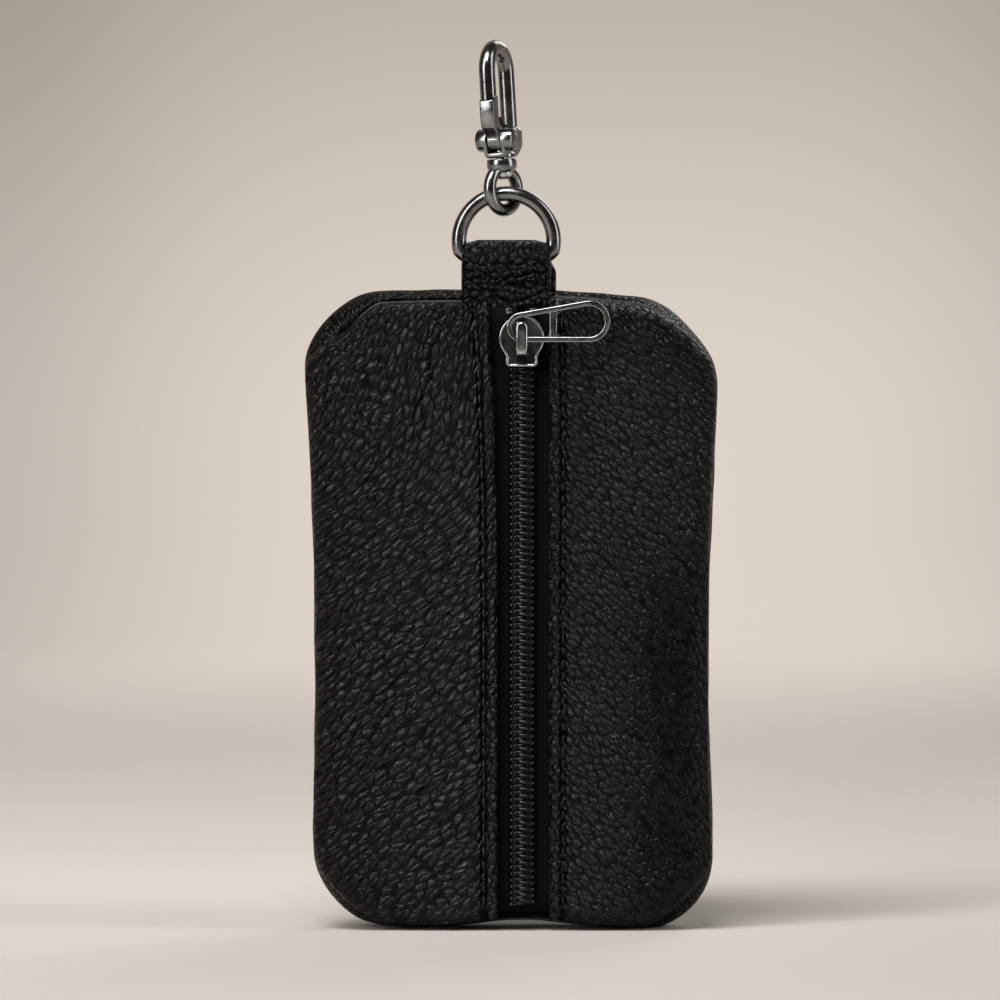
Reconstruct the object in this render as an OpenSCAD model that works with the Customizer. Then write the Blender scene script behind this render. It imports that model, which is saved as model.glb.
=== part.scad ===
// Zip key case with a hanging tab, a D-ring and a swivel snap hook.
// X runs to the right and +Z is up; the zip faces -Y. The case stands on z = 0.
// Millimetres throughout.

/* [Case] */
// Width of the case at its widest
case_w = 78; // [64:1:96]
// Height of the case, without tab and hook
case_h = 120; // [104:1:136]
// Thickness of the case, front face to back face
case_t = 24; // [21:1:28]
// Radius of the four corners, seen from the front
corner_r = 14; // [9:1:18]
// Thickness of the leather
leather_t = 1.4; // [0.9:0.1:1.8]
// Depth of the front panels, from the seam to the front face
front_depth = 6; // [5:0.5:7]
// Width of the rolled border of the front panels
front_roll = 7; // [5:0.5:8]
// How far the side wall bulges out past the front seam
wall_bulge = 1.2; // [0.6:0.1:1.6]
// Thickness of the lining
lining_t = 0.4; // [0.3:0.1:0.6]
// Rise of the bottom edge at the zip
arch_h = 1.7; // [0.5:0.1:2.5]
// Half width of that rise
arch_reach = 13; // [9:1:16]
// Depth that the base is cut flat
base_flat = 0.5; // [0.3:0.1:0.8]

/* [Zip] */
// Centre line of the zip, right of the middle of the case
zip_x = 1.9; // [-4:0.1:4]
// Width of the slot between the leather edges
slot_w = 10.2; // [9.6:0.1:12]
// Width of the closed coil
coil_w = 5.2; // [4.6:0.1:5.4]
// Thickness of the coil
coil_t = 1.6; // [1.3:0.1:1.9]
// Distance from one coil turn to the next
coil_pitch = 1.26; // [1.16:0.02:1.6]
// Thickness of the coil's thread
thread_w = 0.5; // [0.4:0.02:0.54]
// Width of each tape, from the centre line to its sewn edge
tape_w = 11; // [8:0.5:13]
// Thickness of the tapes
tape_t = 0.6; // [0.4:0.1:0.8]

/* [Slider and puller] */
// Width of the slider over its shoulders
slider_w = 8.5; // [8:0.1:9.2]
// Width of the slider's tail
slider_tail_w = 6; // [5.9:0.1:6.6]
// Height of the slider
slider_h = 9.6; // [9:0.1:11]
// Thickness of the slider's plates
plate_t = 0.9; // [0.7:0.1:1.1]
// Width of the bridge that holds the puller
bridge_w = 2.2; // [1.8:0.1:2.4]
// Length of the bridge, foot to foot
bridge_l = 5.2; // [5:0.1:5.6]
// Thickness of the bridge
bridge_t = 0.8; // [0.6:0.1:1]
// Length of the puller
puller_l = 19.3; // [17:0.1:26]
// Height of the puller's narrow end
puller_narrow = 5.6; // [5.4:0.1:6.4]
// Height of the puller's wide end
puller_wide = 7.8; // [7:0.1:9]
// Width and thickness of the puller's wire
puller_wire = 1.05; // [0.8:0.05:1.2]

/* [Tab and D-ring] */
// Width of the leather tab
tab_w = 16.9; // [14:0.1:20]
// Width of the tab where it passes through the ring
tab_neck_w = 12.8; // [10:0.1:13]
// Thickness of one ply of the tab
tab_t = 2; // [1.4:0.1:2.4]
// Distance from the top of the case to the ring's bar
tab_rise = 6; // [5.5:0.1:10]
// Middle of the tab and the ring, right of the middle of the case
tab_x = -1; // [-8:0.1:8]
// Radius of the ring's arc, at the middle of its wire
ring_r = 8.85; // [8.6:0.05:12]
// Diameter of the ring's wire
ring_wire = 2.8; // [2.2:0.1:3]
// Distance of the bar below the centre of the arc
bar_drop = 3.2; // [2:0.1:4]

/* [Swivel and snap hook] */
// Lean of the hook to the left, in degrees
lean = 3.3; // [0:0.1:8]
// Turn of the eye about the hook's axis, in degrees
eye_turn = 50; // [48:1:132]
// Turn of the hook about its axis, in degrees
hook_turn = 67; // [0:1:180]
// Radius of the eye, at the middle of its wire
eye_r = 3.9; // [3.8:0.1:4.6]
// Diameter of the eye's wire
eye_wire = 2.4; // [2:0.1:2.5]
// Diameter of the swivel post
post_d = 2.4; // [2:0.1:2.6]
// Height of the snap hook, without its post
hook_h = 22.2; // [21:0.1:28]
// Width of the hook's claw, between the middles of its wire
claw_w = 9.4; // [8.8:0.1:11]
// Diameter of the hook's wire
hook_wire = 2.8; // [2.4:0.1:3]
// Diameter of the bosses at the gate's pivot
boss_d = 4.3; // [3.9:0.1:4.8]
// Width of the hook over both bosses
boss_span = 7.6; // [6.8:0.1:8.4]
// Diameter of the gate's pin
pin_d = 1.6; // [1.2:0.1:1.8]
// Length of the gate, from its pin to its tip
gate_l = 8.6; // [8:0.1:10]
// Thickness of the gate
gate_t = 2.6; // [2:0.1:2.8]

/* [Key strap and key ring inside] */
// Width of the inner strap
strap_w = 7; // [6:0.5:8]
// Length of the inner strap
strap_l = 16; // [15:0.5:24]
// Thickness of one ply of the inner strap
strap_t = 1.2; // [1:0.1:1.5]
// Outer diameter of the key ring
key_ring_d = 26; // [22:1:30]
// Diameter of the key ring's section
key_ring_wire = 2.2; // [1.6:0.1:2.4]
// Place of the strap behind the middle of the case
strap_y = 3; // [2:0.5:4]

/* [Fits] */
// Running clearance of a pin in its bore
run_gap = 0.05; // [0.02:0.01:0.08]
// Small gap between parts that lie on each other
rest_gap = 0.05; // [0.03:0.01:0.08]
// Gap round the parts that move
move_gap = 0.15; // [0.1:0.01:0.2]
// Gap of a part that hangs loose on another
loose_gap = 0.5; // [0.4:0.05:0.6]

/* [Hidden] */
$fn = 48;

// Overrun of the cuts
cut = 1;

// Case: its middle, its seam and its border
half_w = case_w / 2;
half_h = (case_h + base_flat) / 2;
mid_z = case_h / 2 - base_flat / 2;
seam_y = -(case_t / 2 - front_depth);
back_depth = case_t / 2;
roll_power_share = 3;
roll_root_share = 2.2;
// Share of the width lost at the waist, the height of the waist and its reach
waist_share = 0.05;
waist_place_share = 0.42;
waist_reach_share = 0.44;
// Height over which the rise of the bottom edge fades
arch_fade = arch_reach;
// Places of the loops on the bulging side wall, as shares of the way to the seam
bulge_shares = [0.35, 0.7, 1];
// Width of the round border of the back panel
back_roll = 12;
// Steps of the panels' grid
rows = 20;
back_cols = 20;
side_cols = 10;

// Layers at the zip, from front to back
front_y = -case_t / 2;
inner_y = front_y + leather_t;
tape_front = inner_y + rest_gap;
tape_back = tape_front + tape_t;
coil_front = tape_front - coil_t;
plate_back = coil_front - 2 * move_gap;
plate_front = plate_back - plate_t;
heel_front = tape_back + move_gap;
heel_back = heel_front + plate_t;

// Slider at the top of its travel, with its wedge and its shorter back plate
slider_drop = 2;
wedge_rise = 4.6;
wedge_w = 2.6;
heel_rise = 1.8;
slider_top = case_h - wall_bulge - leather_t - slider_drop;
slider_low = slider_top - slider_h;
shoulder_z = slider_top - slider_w / 2;
wedge_low = slider_low + wedge_rise;
heel_top = shoulder_z + heel_rise;
flange_in = coil_w / 2 + 2 * move_gap / 3;
coil_top = wedge_low - 2 * move_gap;
coil_low = 4.4;
tape_end = 0.8;

// Bridge and puller
bridge_rise = 5.1;
bridge_mid = slider_low + bridge_rise;
bridge_leg = 1;
bridge_room = puller_wire + 2 * loose_gap + move_gap;
bridge_front = plate_front - bridge_room - bridge_t;
strand_y = plate_front - bridge_room / 2;
puller_left = -2.8;
crossbar_x = 7.9;
crossbar_w = 1.5;

// The case's middle lies behind the origin, so that the origin is at the middle of the whole
mid_y = (front_y - bridge_front) / 2;

// Ring, tab and the hook's chain
ring_z = case_h + tab_rise + bar_drop;
bar_z = case_h + tab_rise;
half_bar = sqrt(ring_r * ring_r - bar_drop * bar_drop);
bar_angle = asin(bar_drop / ring_r);
loop_in = ring_wire / 2 + move_gap;
loop_out = loop_in + tab_t;
tab_pinch = 4.4;
tab_foot_front = case_h - wall_bulge + move_gap;
tab_foot_back = case_h - wall_bulge * pow((tab_t + seam_y) / seam_y, 2) + move_gap;

// Swivel: heights above the centre of the ring's arc
eye_z = ring_r + eye_r - eye_wire / 2 - ring_wire / 2 - loose_gap;
collar_sink = 0.35;
collar_low = eye_z + eye_r - collar_sink;
collar_h = 2.2;
collar_d = 5.6;
collar_top = collar_low + collar_h;
head_h = 0.9;
head_d = 3.8;
head_top = collar_low - move_gap;
hook_low = collar_top + move_gap;
post_deep = 1.2;

// Snap hook: u runs from the gate to the spine, v across, heights as above
hook_top = hook_low + hook_h;
claw_r = claw_w / 2;
claw_z = hook_top - hook_wire / 2 - claw_r;
pivot_u = -1.6;
pivot_rise = 3.4;
pivot_z = hook_low + pivot_rise;
slot_v = gate_t + 2 * move_gap;
block_t = 4.2;
block_half = 3.3;
nose_reach = 2;
nose_low = pivot_z + gate_l - nose_reach;
knuckle_inset = 0.4;
gate_knuckle = boss_d - knuckle_inset;

// Inner strap and key ring
strap_drop = 1.6;
strap_top = case_h - leather_t - lining_t - strap_drop;
tunnel_z = strap_top - strap_l;
key_ring_r = (key_ring_d - key_ring_wire) / 2;
ring_sag = key_ring_r - sqrt(key_ring_r * key_ring_r - strap_w * strap_w / 4);
tunnel_r = key_ring_wire / 2 + ring_sag / 2 + move_gap;
rivet_r = 1.5;
rivet_cap_r = 2.8;
rivet_cap_t = 0.7;
rivet_drop = 6.5;
rivet_z = strap_top - rivet_drop;

// Colours
leather = [0.09, 0.09, 0.09];
cloth = [0.13, 0.12, 0.12];
nylon = [0.05, 0.05, 0.05];
gunmetal = [0.36, 0.36, 0.37];
steel = [0.62, 0.62, 0.64];

// Depth of the rolled border at a distance d from the edge, as a share of the full depth
function roll_share(d, roll) =
    let (s = 1 - min(1, max(0, d) / roll))
    pow(max(0, 1 - pow(s, roll_power_share)), 1 / roll_root_share);

// Depth of the round back border, as a share of the full depth
function round_share(d, roll) =
    let (s = 1 - min(1, max(0, d) / roll)) sqrt(max(0, 1 - s * s));

// Distance from a point to the outline that is inset by gap
function depth_in(x, z, gap) =
    let (r = corner_r - gap,
        a = abs(x) - (half_w - gap) + r,
        b = abs(z - mid_z) - (half_h - gap) + r)
    r - norm([max(a, 0), max(b, 0)]) - min(max(a, b), 0);

// Left edge of the inset outline at height z
function edge_x(z, gap) =
    let (r = corner_r - gap, b = abs(z - mid_z) - (half_h - gap) + r)
    -(half_w - gap) + r - sqrt(max(0, r * r - pow(max(b, 0), 2)));

// Narrows the waist, lifts the bottom edge at the zip and cuts the base flat
function shaped(p) =
    let (v = (p.z + base_flat) / (2 * half_h),
        s = (v - waist_place_share) / waist_reach_share,
        narrow = waist_share * (1 - min(1, s * s)) * pow(p.x / half_w, 2),
        lift = arch_h * exp(-pow((p.x - zip_x) / arch_reach, 2))
            * pow(max(0, 1 - (p.z + base_flat) / arch_fade), 2))
    [p.x * (1 - narrow), p.y, max(0, p.z + lift)];

// Height of grid row j
function row_z(j, gap) = mid_z + (half_h - gap) * cos(180 * j / rows);

// Place of column i between the edges: from a to b, close together at the outline
function column_x(i, cols, a, b, both) =
    both ? a + (b - a) * (1 - cos(180 * i / cols)) / 2
        : a + (b - a) * (1 - cos(90 * i / cols));

// One curved surface as a grid of points; to_x is the cut edge, or undef for the full width
function surface_grid(gap, depth, roll, to_x, base_y, facing) = [
    for (j = [0:rows]) for (i = [0:(is_undef(to_x) ? back_cols : side_cols)])
        let (z = row_z(j, gap), a = edge_x(z, gap),
            x = is_undef(to_x) ? column_x(i, back_cols, a, -a, true)
                : column_x(i, side_cols, a, to_x, false),
            d = depth_in(x, z, gap),
            share = facing < 0 ? roll_share(d, roll) : round_share(d, roll))
        shaped([x, base_y + facing * depth * share, z])];

// The border of such a grid, at one depth
function border(gap, cols, y) =
    let (row = function (j) [for (i = [0:cols])
            let (z = row_z(j, gap), a = edge_x(z, gap))
            shaped([column_x(i, cols, a, -a, true), y, z])])
    concat(row(0),
        [for (j = [1:rows]) let (z = row_z(j, gap)) shaped([-edge_x(z, gap), y, z])],
        [for (i = [1:cols]) row(rows)[cols - i]],
        [for (j = [1:rows - 1]) let (z = row_z(rows - j, gap))
            shaped([edge_x(z, gap), y, z])]);

// Indices of a grid's border, clockwise from its first point
function border_ids(cols) = concat(
    [for (i = [0:cols]) i],
    [for (j = [1:rows]) j * (cols + 1) + cols],
    [for (i = [1:cols]) rows * (cols + 1) + cols - i],
    [for (j = [1:rows - 1]) (rows - j) * (cols + 1)]);

function turned(faces) = [for (f = faces) [for (k = [1:len(f)]) f[len(f) - k]]];

// Triangles of a grid whose points start at first
function grid_faces(cols, first) = [
    for (j = [0:rows - 1]) for (i = [0:cols - 1])
        let (a = first + j * (cols + 1) + i, c = a + cols + 2)
        each [[a, a + 1, c], [a, c, c - 1]]];

// Triangles between two loops of indices
function band_faces(a, b) = [
    for (k = [0:len(a) - 1]) let (n = (k + 1) % len(a))
        each [[a[n], a[k], b[k]], [a[n], b[k], b[n]]]];

// A front panel or its lining, left of the cut edge
module front_shell(gap, depth, roll, wall, to_x) {
    outer = surface_grid(gap, depth, roll, to_x, seam_y, -1);
    inner = surface_grid(gap + wall, depth - wall, roll - wall, to_x, seam_y, -1);
    ids = border_ids(side_cols);
    polyhedron(
        points = concat(outer, inner),
        faces = concat(grid_faces(side_cols, 0),
            turned(grid_faces(side_cols, len(outer))),
            band_faces(ids, [for (k = ids) k + len(outer)])));
}

// The same on the right side, made as a mirror image and cut at its own edge
module mirrored_shell(gap, depth, roll, wall, to_x) {
    flip = function (list) [for (p = list) [-p.x, p.y, p.z]];
    a = flip(right_grid(gap, depth, roll, to_x));
    b = flip(right_grid(gap + wall, depth - wall, roll - wall, to_x));
    ids = border_ids(side_cols);
    polyhedron(
        points = concat(a, b),
        faces = turned(concat(grid_faces(side_cols, 0),
            turned(grid_faces(side_cols, len(a))),
            band_faces(ids, [for (k = ids) k + len(a)]))));
}

// Right side's grid, drawn on the left with the zip's offset mirrored
function right_grid(gap, depth, roll, to_x) = [
    for (j = [0:rows]) for (i = [0:side_cols])
        let (z = row_z(j, gap), a = edge_x(z, gap),
            x = column_x(i, side_cols, a, -to_x, false),
            p = shaped([-x, seam_y - depth * roll_share(depth_in(x, z, gap), roll), z]))
        [-p.x, p.y, p.z]];

// The back panel or its lining: a tray whose side wall bulges in front of its widest line
module back_shell(gap, wall) {
    outer = surface_grid(gap, back_depth - gap, back_roll - gap, undef, 0, 1);
    inner = surface_grid(gap + wall, back_depth - gap - wall, back_roll - gap - wall,
        undef, 0, 1);
    count = len(border_ids(back_cols));
    base = len(outer) + len(inner);
    // Loops from the widest line forwards to the seam, then back again inside
    last = len(bulge_shares);
    loops = concat(
        [for (s = bulge_shares) border(gap + wall_bulge * s * s, back_cols, seam_y * s)],
        [for (k = [1:last]) let (s = bulge_shares[last - k])
            border(gap + wall + wall_bulge * s * s, back_cols, seam_y * s)]);
    ids = concat([border_ids(back_cols)],
        [for (n = [0:len(loops) - 1]) [for (k = [0:count - 1]) base + n * count + k]],
        [[for (k = border_ids(back_cols)) k + len(outer)]]);
    polyhedron(
        points = concat(outer, inner, [for (l = loops) each l]),
        faces = turned(concat(grid_faces(back_cols, 0),
            turned(grid_faces(back_cols, len(outer))),
            [for (n = [0:len(ids) - 2]) each band_faces(ids[n], ids[n + 1])])));
}

// Frame of the case
module case_frame() translate([0, mid_y, 0]) children();

// Frame of the hanging parts: the centre of the ring's arc, leaning left
module chain_frame() case_frame() translate([tab_x, seam_y, ring_z])
    rotate([0, -lean, 0]) children();

// Frame of the snap hook: x from the gate to the spine
module hook_frame() chain_frame() rotate([0, 0, hook_turn]) children();

// Draws an outline of the y-z plane as a strip of width w along X
module along_x(w) translate([-w / 2, 0, 0]) rotate([90, 0, 90]) linear_extrude(w) children();

// Draws an outline of the x-z plane as a plate from y0 to y1
module plate(y0, y1) translate([0, y1, 0]) rotate([90, 0, 0]) linear_extrude(y1 - y0) children();

module back_panel() color(leather) case_frame() back_shell(0, leather_t);

module front_left_panel() color(leather) case_frame()
    front_shell(wall_bulge, front_depth, front_roll, leather_t, zip_x - slot_w / 2);

module front_right_panel() color(leather) case_frame()
    mirrored_shell(wall_bulge, front_depth, front_roll, leather_t, zip_x + slot_w / 2);

lining_gap = leather_t + move_gap + rest_gap;
lining_edge = tape_w + 2 * move_gap;

module back_lining() color(cloth) case_frame() back_shell(lining_gap, lining_t);

module front_left_lining() color(cloth) case_frame()
    front_shell(wall_bulge + lining_gap, front_depth - lining_gap, front_roll - lining_gap,
        lining_t, zip_x - lining_edge);

module front_right_lining() color(cloth) case_frame()
    mirrored_shell(wall_bulge + lining_gap, front_depth - lining_gap,
        front_roll - lining_gap, lining_t, zip_x + lining_edge);

// Inner face of the front panels at their grid row j, as a point of the y-z plane
function inner_row(j) =
    let (gap = wall_bulge + leather_t, z = row_z(j, gap), d = half_h - abs(z - mid_z) - gap)
    [seam_y - (front_depth - leather_t) * roll_share(d, front_roll - leather_t), z];

// Point at height z on the line through two such points
function at_height(a, b, z) = [a.x + (b.x - a.x) * (z - a.y) / (b.y - a.y), z];

// Line that a tape follows: the facets of the panels' inner face, and its two ends on them
function tape_line(back) =
    let (reach = half_h - wall_bulge - leather_t - tape_end)
    [for (q = concat([at_height(inner_row(1), inner_row(2), mid_z + reach)],
            [for (j = [2:rows - 2]) inner_row(j)],
            [at_height(inner_row(rows - 1), inner_row(rows - 2), mid_z - reach)]))
        let (p = shaped([zip_x, q.x + rest_gap + back, q.y])) [p.y, p.z]];

// One tape, left of the centre line, with its edge drawn aside by the slider's wedge
module tape(side) case_frame() difference() {
    translate([zip_x + side * (tape_w / 2 + move_gap / 2), 0, 0])
        along_x(tape_w - move_gap)
            let (back = tape_line(tape_t))
                polygon(concat(tape_line(0), [for (k = [1:len(back)]) back[len(back) - k]]));
    translate([zip_x, 0, 0]) plate(tape_front - front_depth, seam_y)
        polygon([[0, coil_top - move_gap], [wedge_w / 2 + 2 * move_gap, wedge_low + wedge_w / 2],
            [wedge_w / 2 + 2 * move_gap, case_h], [-wedge_w / 2 - 2 * move_gap, case_h],
            [-wedge_w / 2 - 2 * move_gap, wedge_low + wedge_w / 2]]);
}

module tape_left() color(cloth) tape(-1);

module tape_right() color(cloth) tape(1);

// Turns of one coil half: a spine with a row of flat loops that reach past the centre line
spine_w = 0.7;
turn_reach = 0.55;
turn_count = floor((coil_top - coil_low - coil_pitch) / coil_pitch);

module coil(side) case_frame() translate([zip_x, 0, coil_low]) plate(coil_front, tape_front)
    mirror([side > 0 ? 1 : 0, 0])
        polygon(concat(
            [[-coil_w / 2, 0], [-coil_w / 2, coil_top - coil_low],
                [-coil_w / 2 + spine_w, coil_top - coil_low]],
            [for (k = [0:turn_count - 1])
                let (low = (side > 0 ? coil_pitch / 2 : 0),
                    z = low + coil_pitch * (turn_count - 1 - k) + thread_w / 2)
                each [[-coil_w / 2 + spine_w, z + thread_w],
                    [turn_reach - thread_w / 2, z + thread_w],
                    [turn_reach, z + thread_w / 2],
                    [turn_reach - thread_w / 2, z],
                    [-coil_w / 2 + spine_w, z]]],
            [[-coil_w / 2 + spine_w, 0]]));

module coil_left() color(nylon) coil(-1);

module coil_right() color(nylon) coil(1);

// Small crimped stop on a tape's edge, above the slider
stop_w = 1.3;
stop_h = 1.2;
stop_t = 1.5;

module top_stop(side) case_frame()
    translate([zip_x + side * (wedge_w / 2 + 2 * move_gap + stop_w / 2 + rest_gap), 0, 0])
        let (z = slider_top + move_gap, d = case_h - z - wall_bulge - leather_t,
            y = seam_y - (front_depth - leather_t) * roll_share(d, front_roll - leather_t))
        translate([-stop_w / 2, y - stop_t, z]) cube([stop_w, stop_t, stop_h]);

module top_stop_left() color(gunmetal) top_stop(-1);

module top_stop_right() color(gunmetal) top_stop(1);

// Leather tab: folded round the ring's bar, its plies joined below and set in the top seam
module hanger_tab() color(leather) case_frame() translate([tab_x, seam_y, 0]) difference() {
    along_x(tab_w) difference() {
        union() {
            translate([0, bar_z]) circle(loop_out);
            polygon([[-loop_out, bar_z], [-tab_t, bar_z - tab_pinch], [-tab_t, tab_foot_front],
                [0, tab_foot_front], [0, tab_foot_back], [tab_t, tab_foot_back],
                [tab_t, bar_z - tab_pinch], [loop_out, bar_z]]);
        }
        translate([0, bar_z]) circle(loop_in);
        polygon([[-loop_in, bar_z], [0, bar_z - tab_pinch], [loop_in, bar_z]]);
    }
    for (side = [-1, 1])
        translate([side * (tab_neck_w / 2 + tab_w / 2), 0, bar_z + case_h / 2 - ring_wire / 2 - move_gap])
            cube([tab_w, case_t, case_h], center = true);
}

// Inner strap: folded round the key ring, its plies riveted together
module key_strap() color(leather) case_frame() translate([0, strap_y, 0]) difference() {
    along_x(strap_w) difference() {
        union() {
            translate([0, tunnel_z]) circle(tunnel_r + strap_t);
            translate([-strap_t, tunnel_z]) square([2 * strap_t, strap_l]);
        }
        translate([0, tunnel_z]) circle(tunnel_r);
    }
    translate([0, 0, rivet_z]) rotate([90, 0, 0])
        cylinder(h = case_t, r = rivet_r + run_gap, center = true);
}

module strap_rivet() color(steel) case_frame() translate([0, strap_y, rivet_z])
    rotate([90, 0, 0]) {
        cylinder(h = 2 * strap_t + rivet_cap_t, r = rivet_r, center = true);
        for (side = [-1, 1])
            translate([0, 0, side * (strap_t + rivet_cap_t / 2 + rest_gap)])
                cylinder(h = rivet_cap_t, r = rivet_cap_r, center = true);
    }

// Split ring with the groove between its two turns
module key_ring() color(steel) case_frame()
    translate([0, strap_y, tunnel_z + ring_sag / 2 - key_ring_r]) rotate([90, 0, 0])
        rotate_extrude($fn = 96) translate([key_ring_r, 0]) difference() {
            circle(key_ring_wire / 2);
            translate([key_ring_wire / 2, 0])
                square([key_ring_wire / 2, key_ring_wire / 12], center = true);
        }

// Outline of the slider's plates: round shoulders and a straight tail
module slider_outline(top) intersection() {
    union() {
        translate([0, shoulder_z]) circle(slider_w / 2);
        translate([-slider_tail_w / 2, slider_low]) square([slider_tail_w, slider_h / 2]);
    }
    translate([-slider_w, slider_low]) square([2 * slider_w, top - slider_low]);
}

module slider_body() color(gunmetal) case_frame() translate([zip_x, 0, 0]) {
    plate(plate_front, plate_back) slider_outline(slider_top);
    plate(heel_front, heel_back) slider_outline(heel_top);
    plate(plate_back - plate_t / 2, heel_front + plate_t / 2)
        polygon([[0, wedge_low], [wedge_w / 2, wedge_low + wedge_w / 2], [wedge_w / 2, heel_top],
            [-wedge_w / 2, heel_top], [-wedge_w / 2, wedge_low + wedge_w / 2]]);
    for (side = [-1, 1]) plate(plate_back - plate_t / 2, tape_front - 2 * move_gap / 3)
        translate([side * (slider_tail_w / 2 + flange_in) / 2, slider_low + slider_h / 4])
            square([slider_tail_w / 2 - flange_in, slider_h / 2], center = true);
}

// Bridge over the puller's strand
module slider_bridge() color(gunmetal) case_frame() translate([zip_x, 0, bridge_mid])
    along_x(bridge_w) difference() {
        polygon([[plate_front, -bridge_l / 2], [bridge_front + bridge_t / 2, -bridge_l / 2],
            [bridge_front, -bridge_l / 2 + bridge_t / 2], [bridge_front, bridge_l / 2 - bridge_t / 2],
            [bridge_front + bridge_t / 2, bridge_l / 2], [plate_front, bridge_l / 2]]);
        translate([bridge_front + bridge_t, -bridge_l / 2 + bridge_leg])
            square([bridge_room + cut, bridge_l - 2 * bridge_leg]);
    }

// Flat lock spring that lies on the bridge
spring_t = 0.3;

module lock_spring() color(steel) case_frame() translate([zip_x, 0, bridge_mid])
    along_x(bridge_w / 2) translate([bridge_front - spring_t, -bridge_l / 3])
        square([spring_t, 2 * bridge_l / 3]);

// Outline of the puller, shrunk by in, with its lower edge on z = 0
module puller_outline(in) {
    a = puller_narrow / 2;
    b = puller_wide / 2;
    translate([a, a]) circle(a - in);
    translate([puller_l - b, b]) circle(b - in);
    polygon([[a, in], [puller_l - b, in], [puller_l - b - in / 4, puller_wide - in],
        [a - in / 4, puller_narrow - in]]);
}

module puller() color(gunmetal) case_frame()
    translate([zip_x + puller_left, 0, bridge_mid - puller_wire / 2])
        plate(strand_y - puller_wire / 2, strand_y + puller_wire / 2) {
            difference() {
                puller_outline(0);
                difference() {
                    puller_outline(puller_wire);
                    translate([crossbar_x, 0]) square([crossbar_w, puller_wide]);
                }
            }
        }

// D-ring: an arc and a straight bar that meet in round corners
module d_ring() color(gunmetal) case_frame() translate([tab_x, seam_y, ring_z]) {
    rotate([90, 0, 0]) rotate([0, 0, -bar_angle])
        rotate_extrude(angle = 180 + 2 * bar_angle, $fn = 96)
            translate([ring_r, 0]) circle(ring_wire / 2);
    translate([0, 0, -bar_drop]) rotate([0, 90, 0])
        cylinder(h = 2 * half_bar, r = ring_wire / 2, center = true);
    for (side = [-1, 1]) translate([side * half_bar, 0, -bar_drop])
        sphere(ring_wire / 2 + rest_gap);
}

// Eye of the swivel: a round eye with a bored collar on top
module swivel_eye() color(gunmetal) chain_frame() difference() {
    union() {
        translate([0, 0, eye_z]) rotate([0, 0, eye_turn]) rotate([90, 0, 0])
            rotate_extrude($fn = 96) translate([eye_r, 0]) circle(eye_wire / 2);
        translate([0, 0, collar_low]) cylinder(h = collar_h, d = collar_d);
    }
    translate([0, 0, collar_low - cut]) cylinder(h = collar_h + 2 * cut, r = post_d / 2 + run_gap);
    translate([0, 0, collar_low - eye_wire]) cylinder(h = eye_wire, r = head_d / 2 + move_gap);
}

// Post of the swivel, riveted over inside the eye and pressed into the hook
module swivel_post() color(gunmetal) chain_frame() {
    translate([0, 0, head_top - head_h]) cylinder(h = head_h, d = head_d);
    translate([0, 0, head_top - head_h / 2])
        cylinder(h = hook_low + post_deep - head_top + head_h / 2, d = post_d);
}

// Room of the gate between the cheeks of the hook
module gate_room() plate(-slot_v / 2, slot_v / 2) {
    translate([pivot_u, pivot_z]) circle(gate_knuckle / 2 + 2 * move_gap);
    translate([pivot_u, pivot_z]) polygon([[gate_knuckle / 2 + 2 * move_gap, 0],
        [gate_knuckle / 2 + 2 * move_gap, gate_l], [-2 * claw_r, gate_l], [-2 * claw_r, 0]]);
}

module hook_body() color(gunmetal) hook_frame() difference() {
    union() {
        // Claw: nose, round top and spine
        translate([0, 0, claw_z]) rotate([90, 0, 0]) rotate_extrude(angle = 180)
            translate([claw_r, 0]) circle(hook_wire / 2);
        difference() {
            translate([-claw_r, 0, nose_low]) cylinder(h = claw_z - nose_low, d = hook_wire);
            translate([pivot_u, 0, pivot_z]) rotate([90, 0, 0])
                cylinder(h = 2 * boss_span, r = gate_l + move_gap, center = true);
        }
        translate([claw_r, 0, pivot_z]) cylinder(h = claw_z - pivot_z, d = hook_wire);
        // Block that joins the spine, the bosses and the post
        plate(-block_t / 2, block_t / 2)
            polygon([[-block_half, hook_low], [block_half, hook_low],
                [claw_r + hook_wire / 2, pivot_z - boss_d / 4],
                [claw_r + hook_wire / 2, pivot_z + boss_d / 2],
                [claw_r - hook_wire / 2, pivot_z + boss_d / 2],
                [pivot_u + boss_d / 2, pivot_z], [-block_half, pivot_z]]);
        translate([pivot_u, 0, pivot_z]) rotate([90, 0, 0])
            cylinder(h = boss_span, d = boss_d, center = true);
    }
    gate_room();
    translate([pivot_u, 0, pivot_z]) rotate([90, 0, 0])
        cylinder(h = 2 * boss_span, d = pin_d, center = true);
    translate([0, 0, hook_low - cut]) cylinder(h = post_deep + cut, d = post_d);
}

// Gate: a lever from its knuckle up to the nose, rounded off about its pin
module gate() color(gunmetal) hook_frame() difference() {
    intersection() {
        plate(-gate_t / 2, gate_t / 2) {
            translate([pivot_u, pivot_z]) circle(gate_knuckle / 2);
            polygon([[pivot_u + gate_knuckle / 4, pivot_z + gate_knuckle / 3],
                [-claw_r + gate_t / 2, pivot_z + gate_l / 2],
                [-claw_r + gate_t / 2, pivot_z + gate_l],
                [-claw_r - gate_t / 2, pivot_z + gate_l],
                [-claw_r - gate_t / 2, pivot_z + gate_l / 3],
                [pivot_u - gate_knuckle / 2, pivot_z - gate_knuckle / 8]]);
        }
        translate([pivot_u, 0, pivot_z]) rotate([90, 0, 0])
            cylinder(h = boss_span, r = gate_l, center = true);
    }
    translate([pivot_u, 0, pivot_z]) rotate([90, 0, 0])
        cylinder(h = boss_span, d = pin_d + 2 * run_gap, center = true);
}

// Pin of the gate, riveted over on both bosses
pin_head_d = 2.8;
pin_head_t = 0.3;

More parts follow.
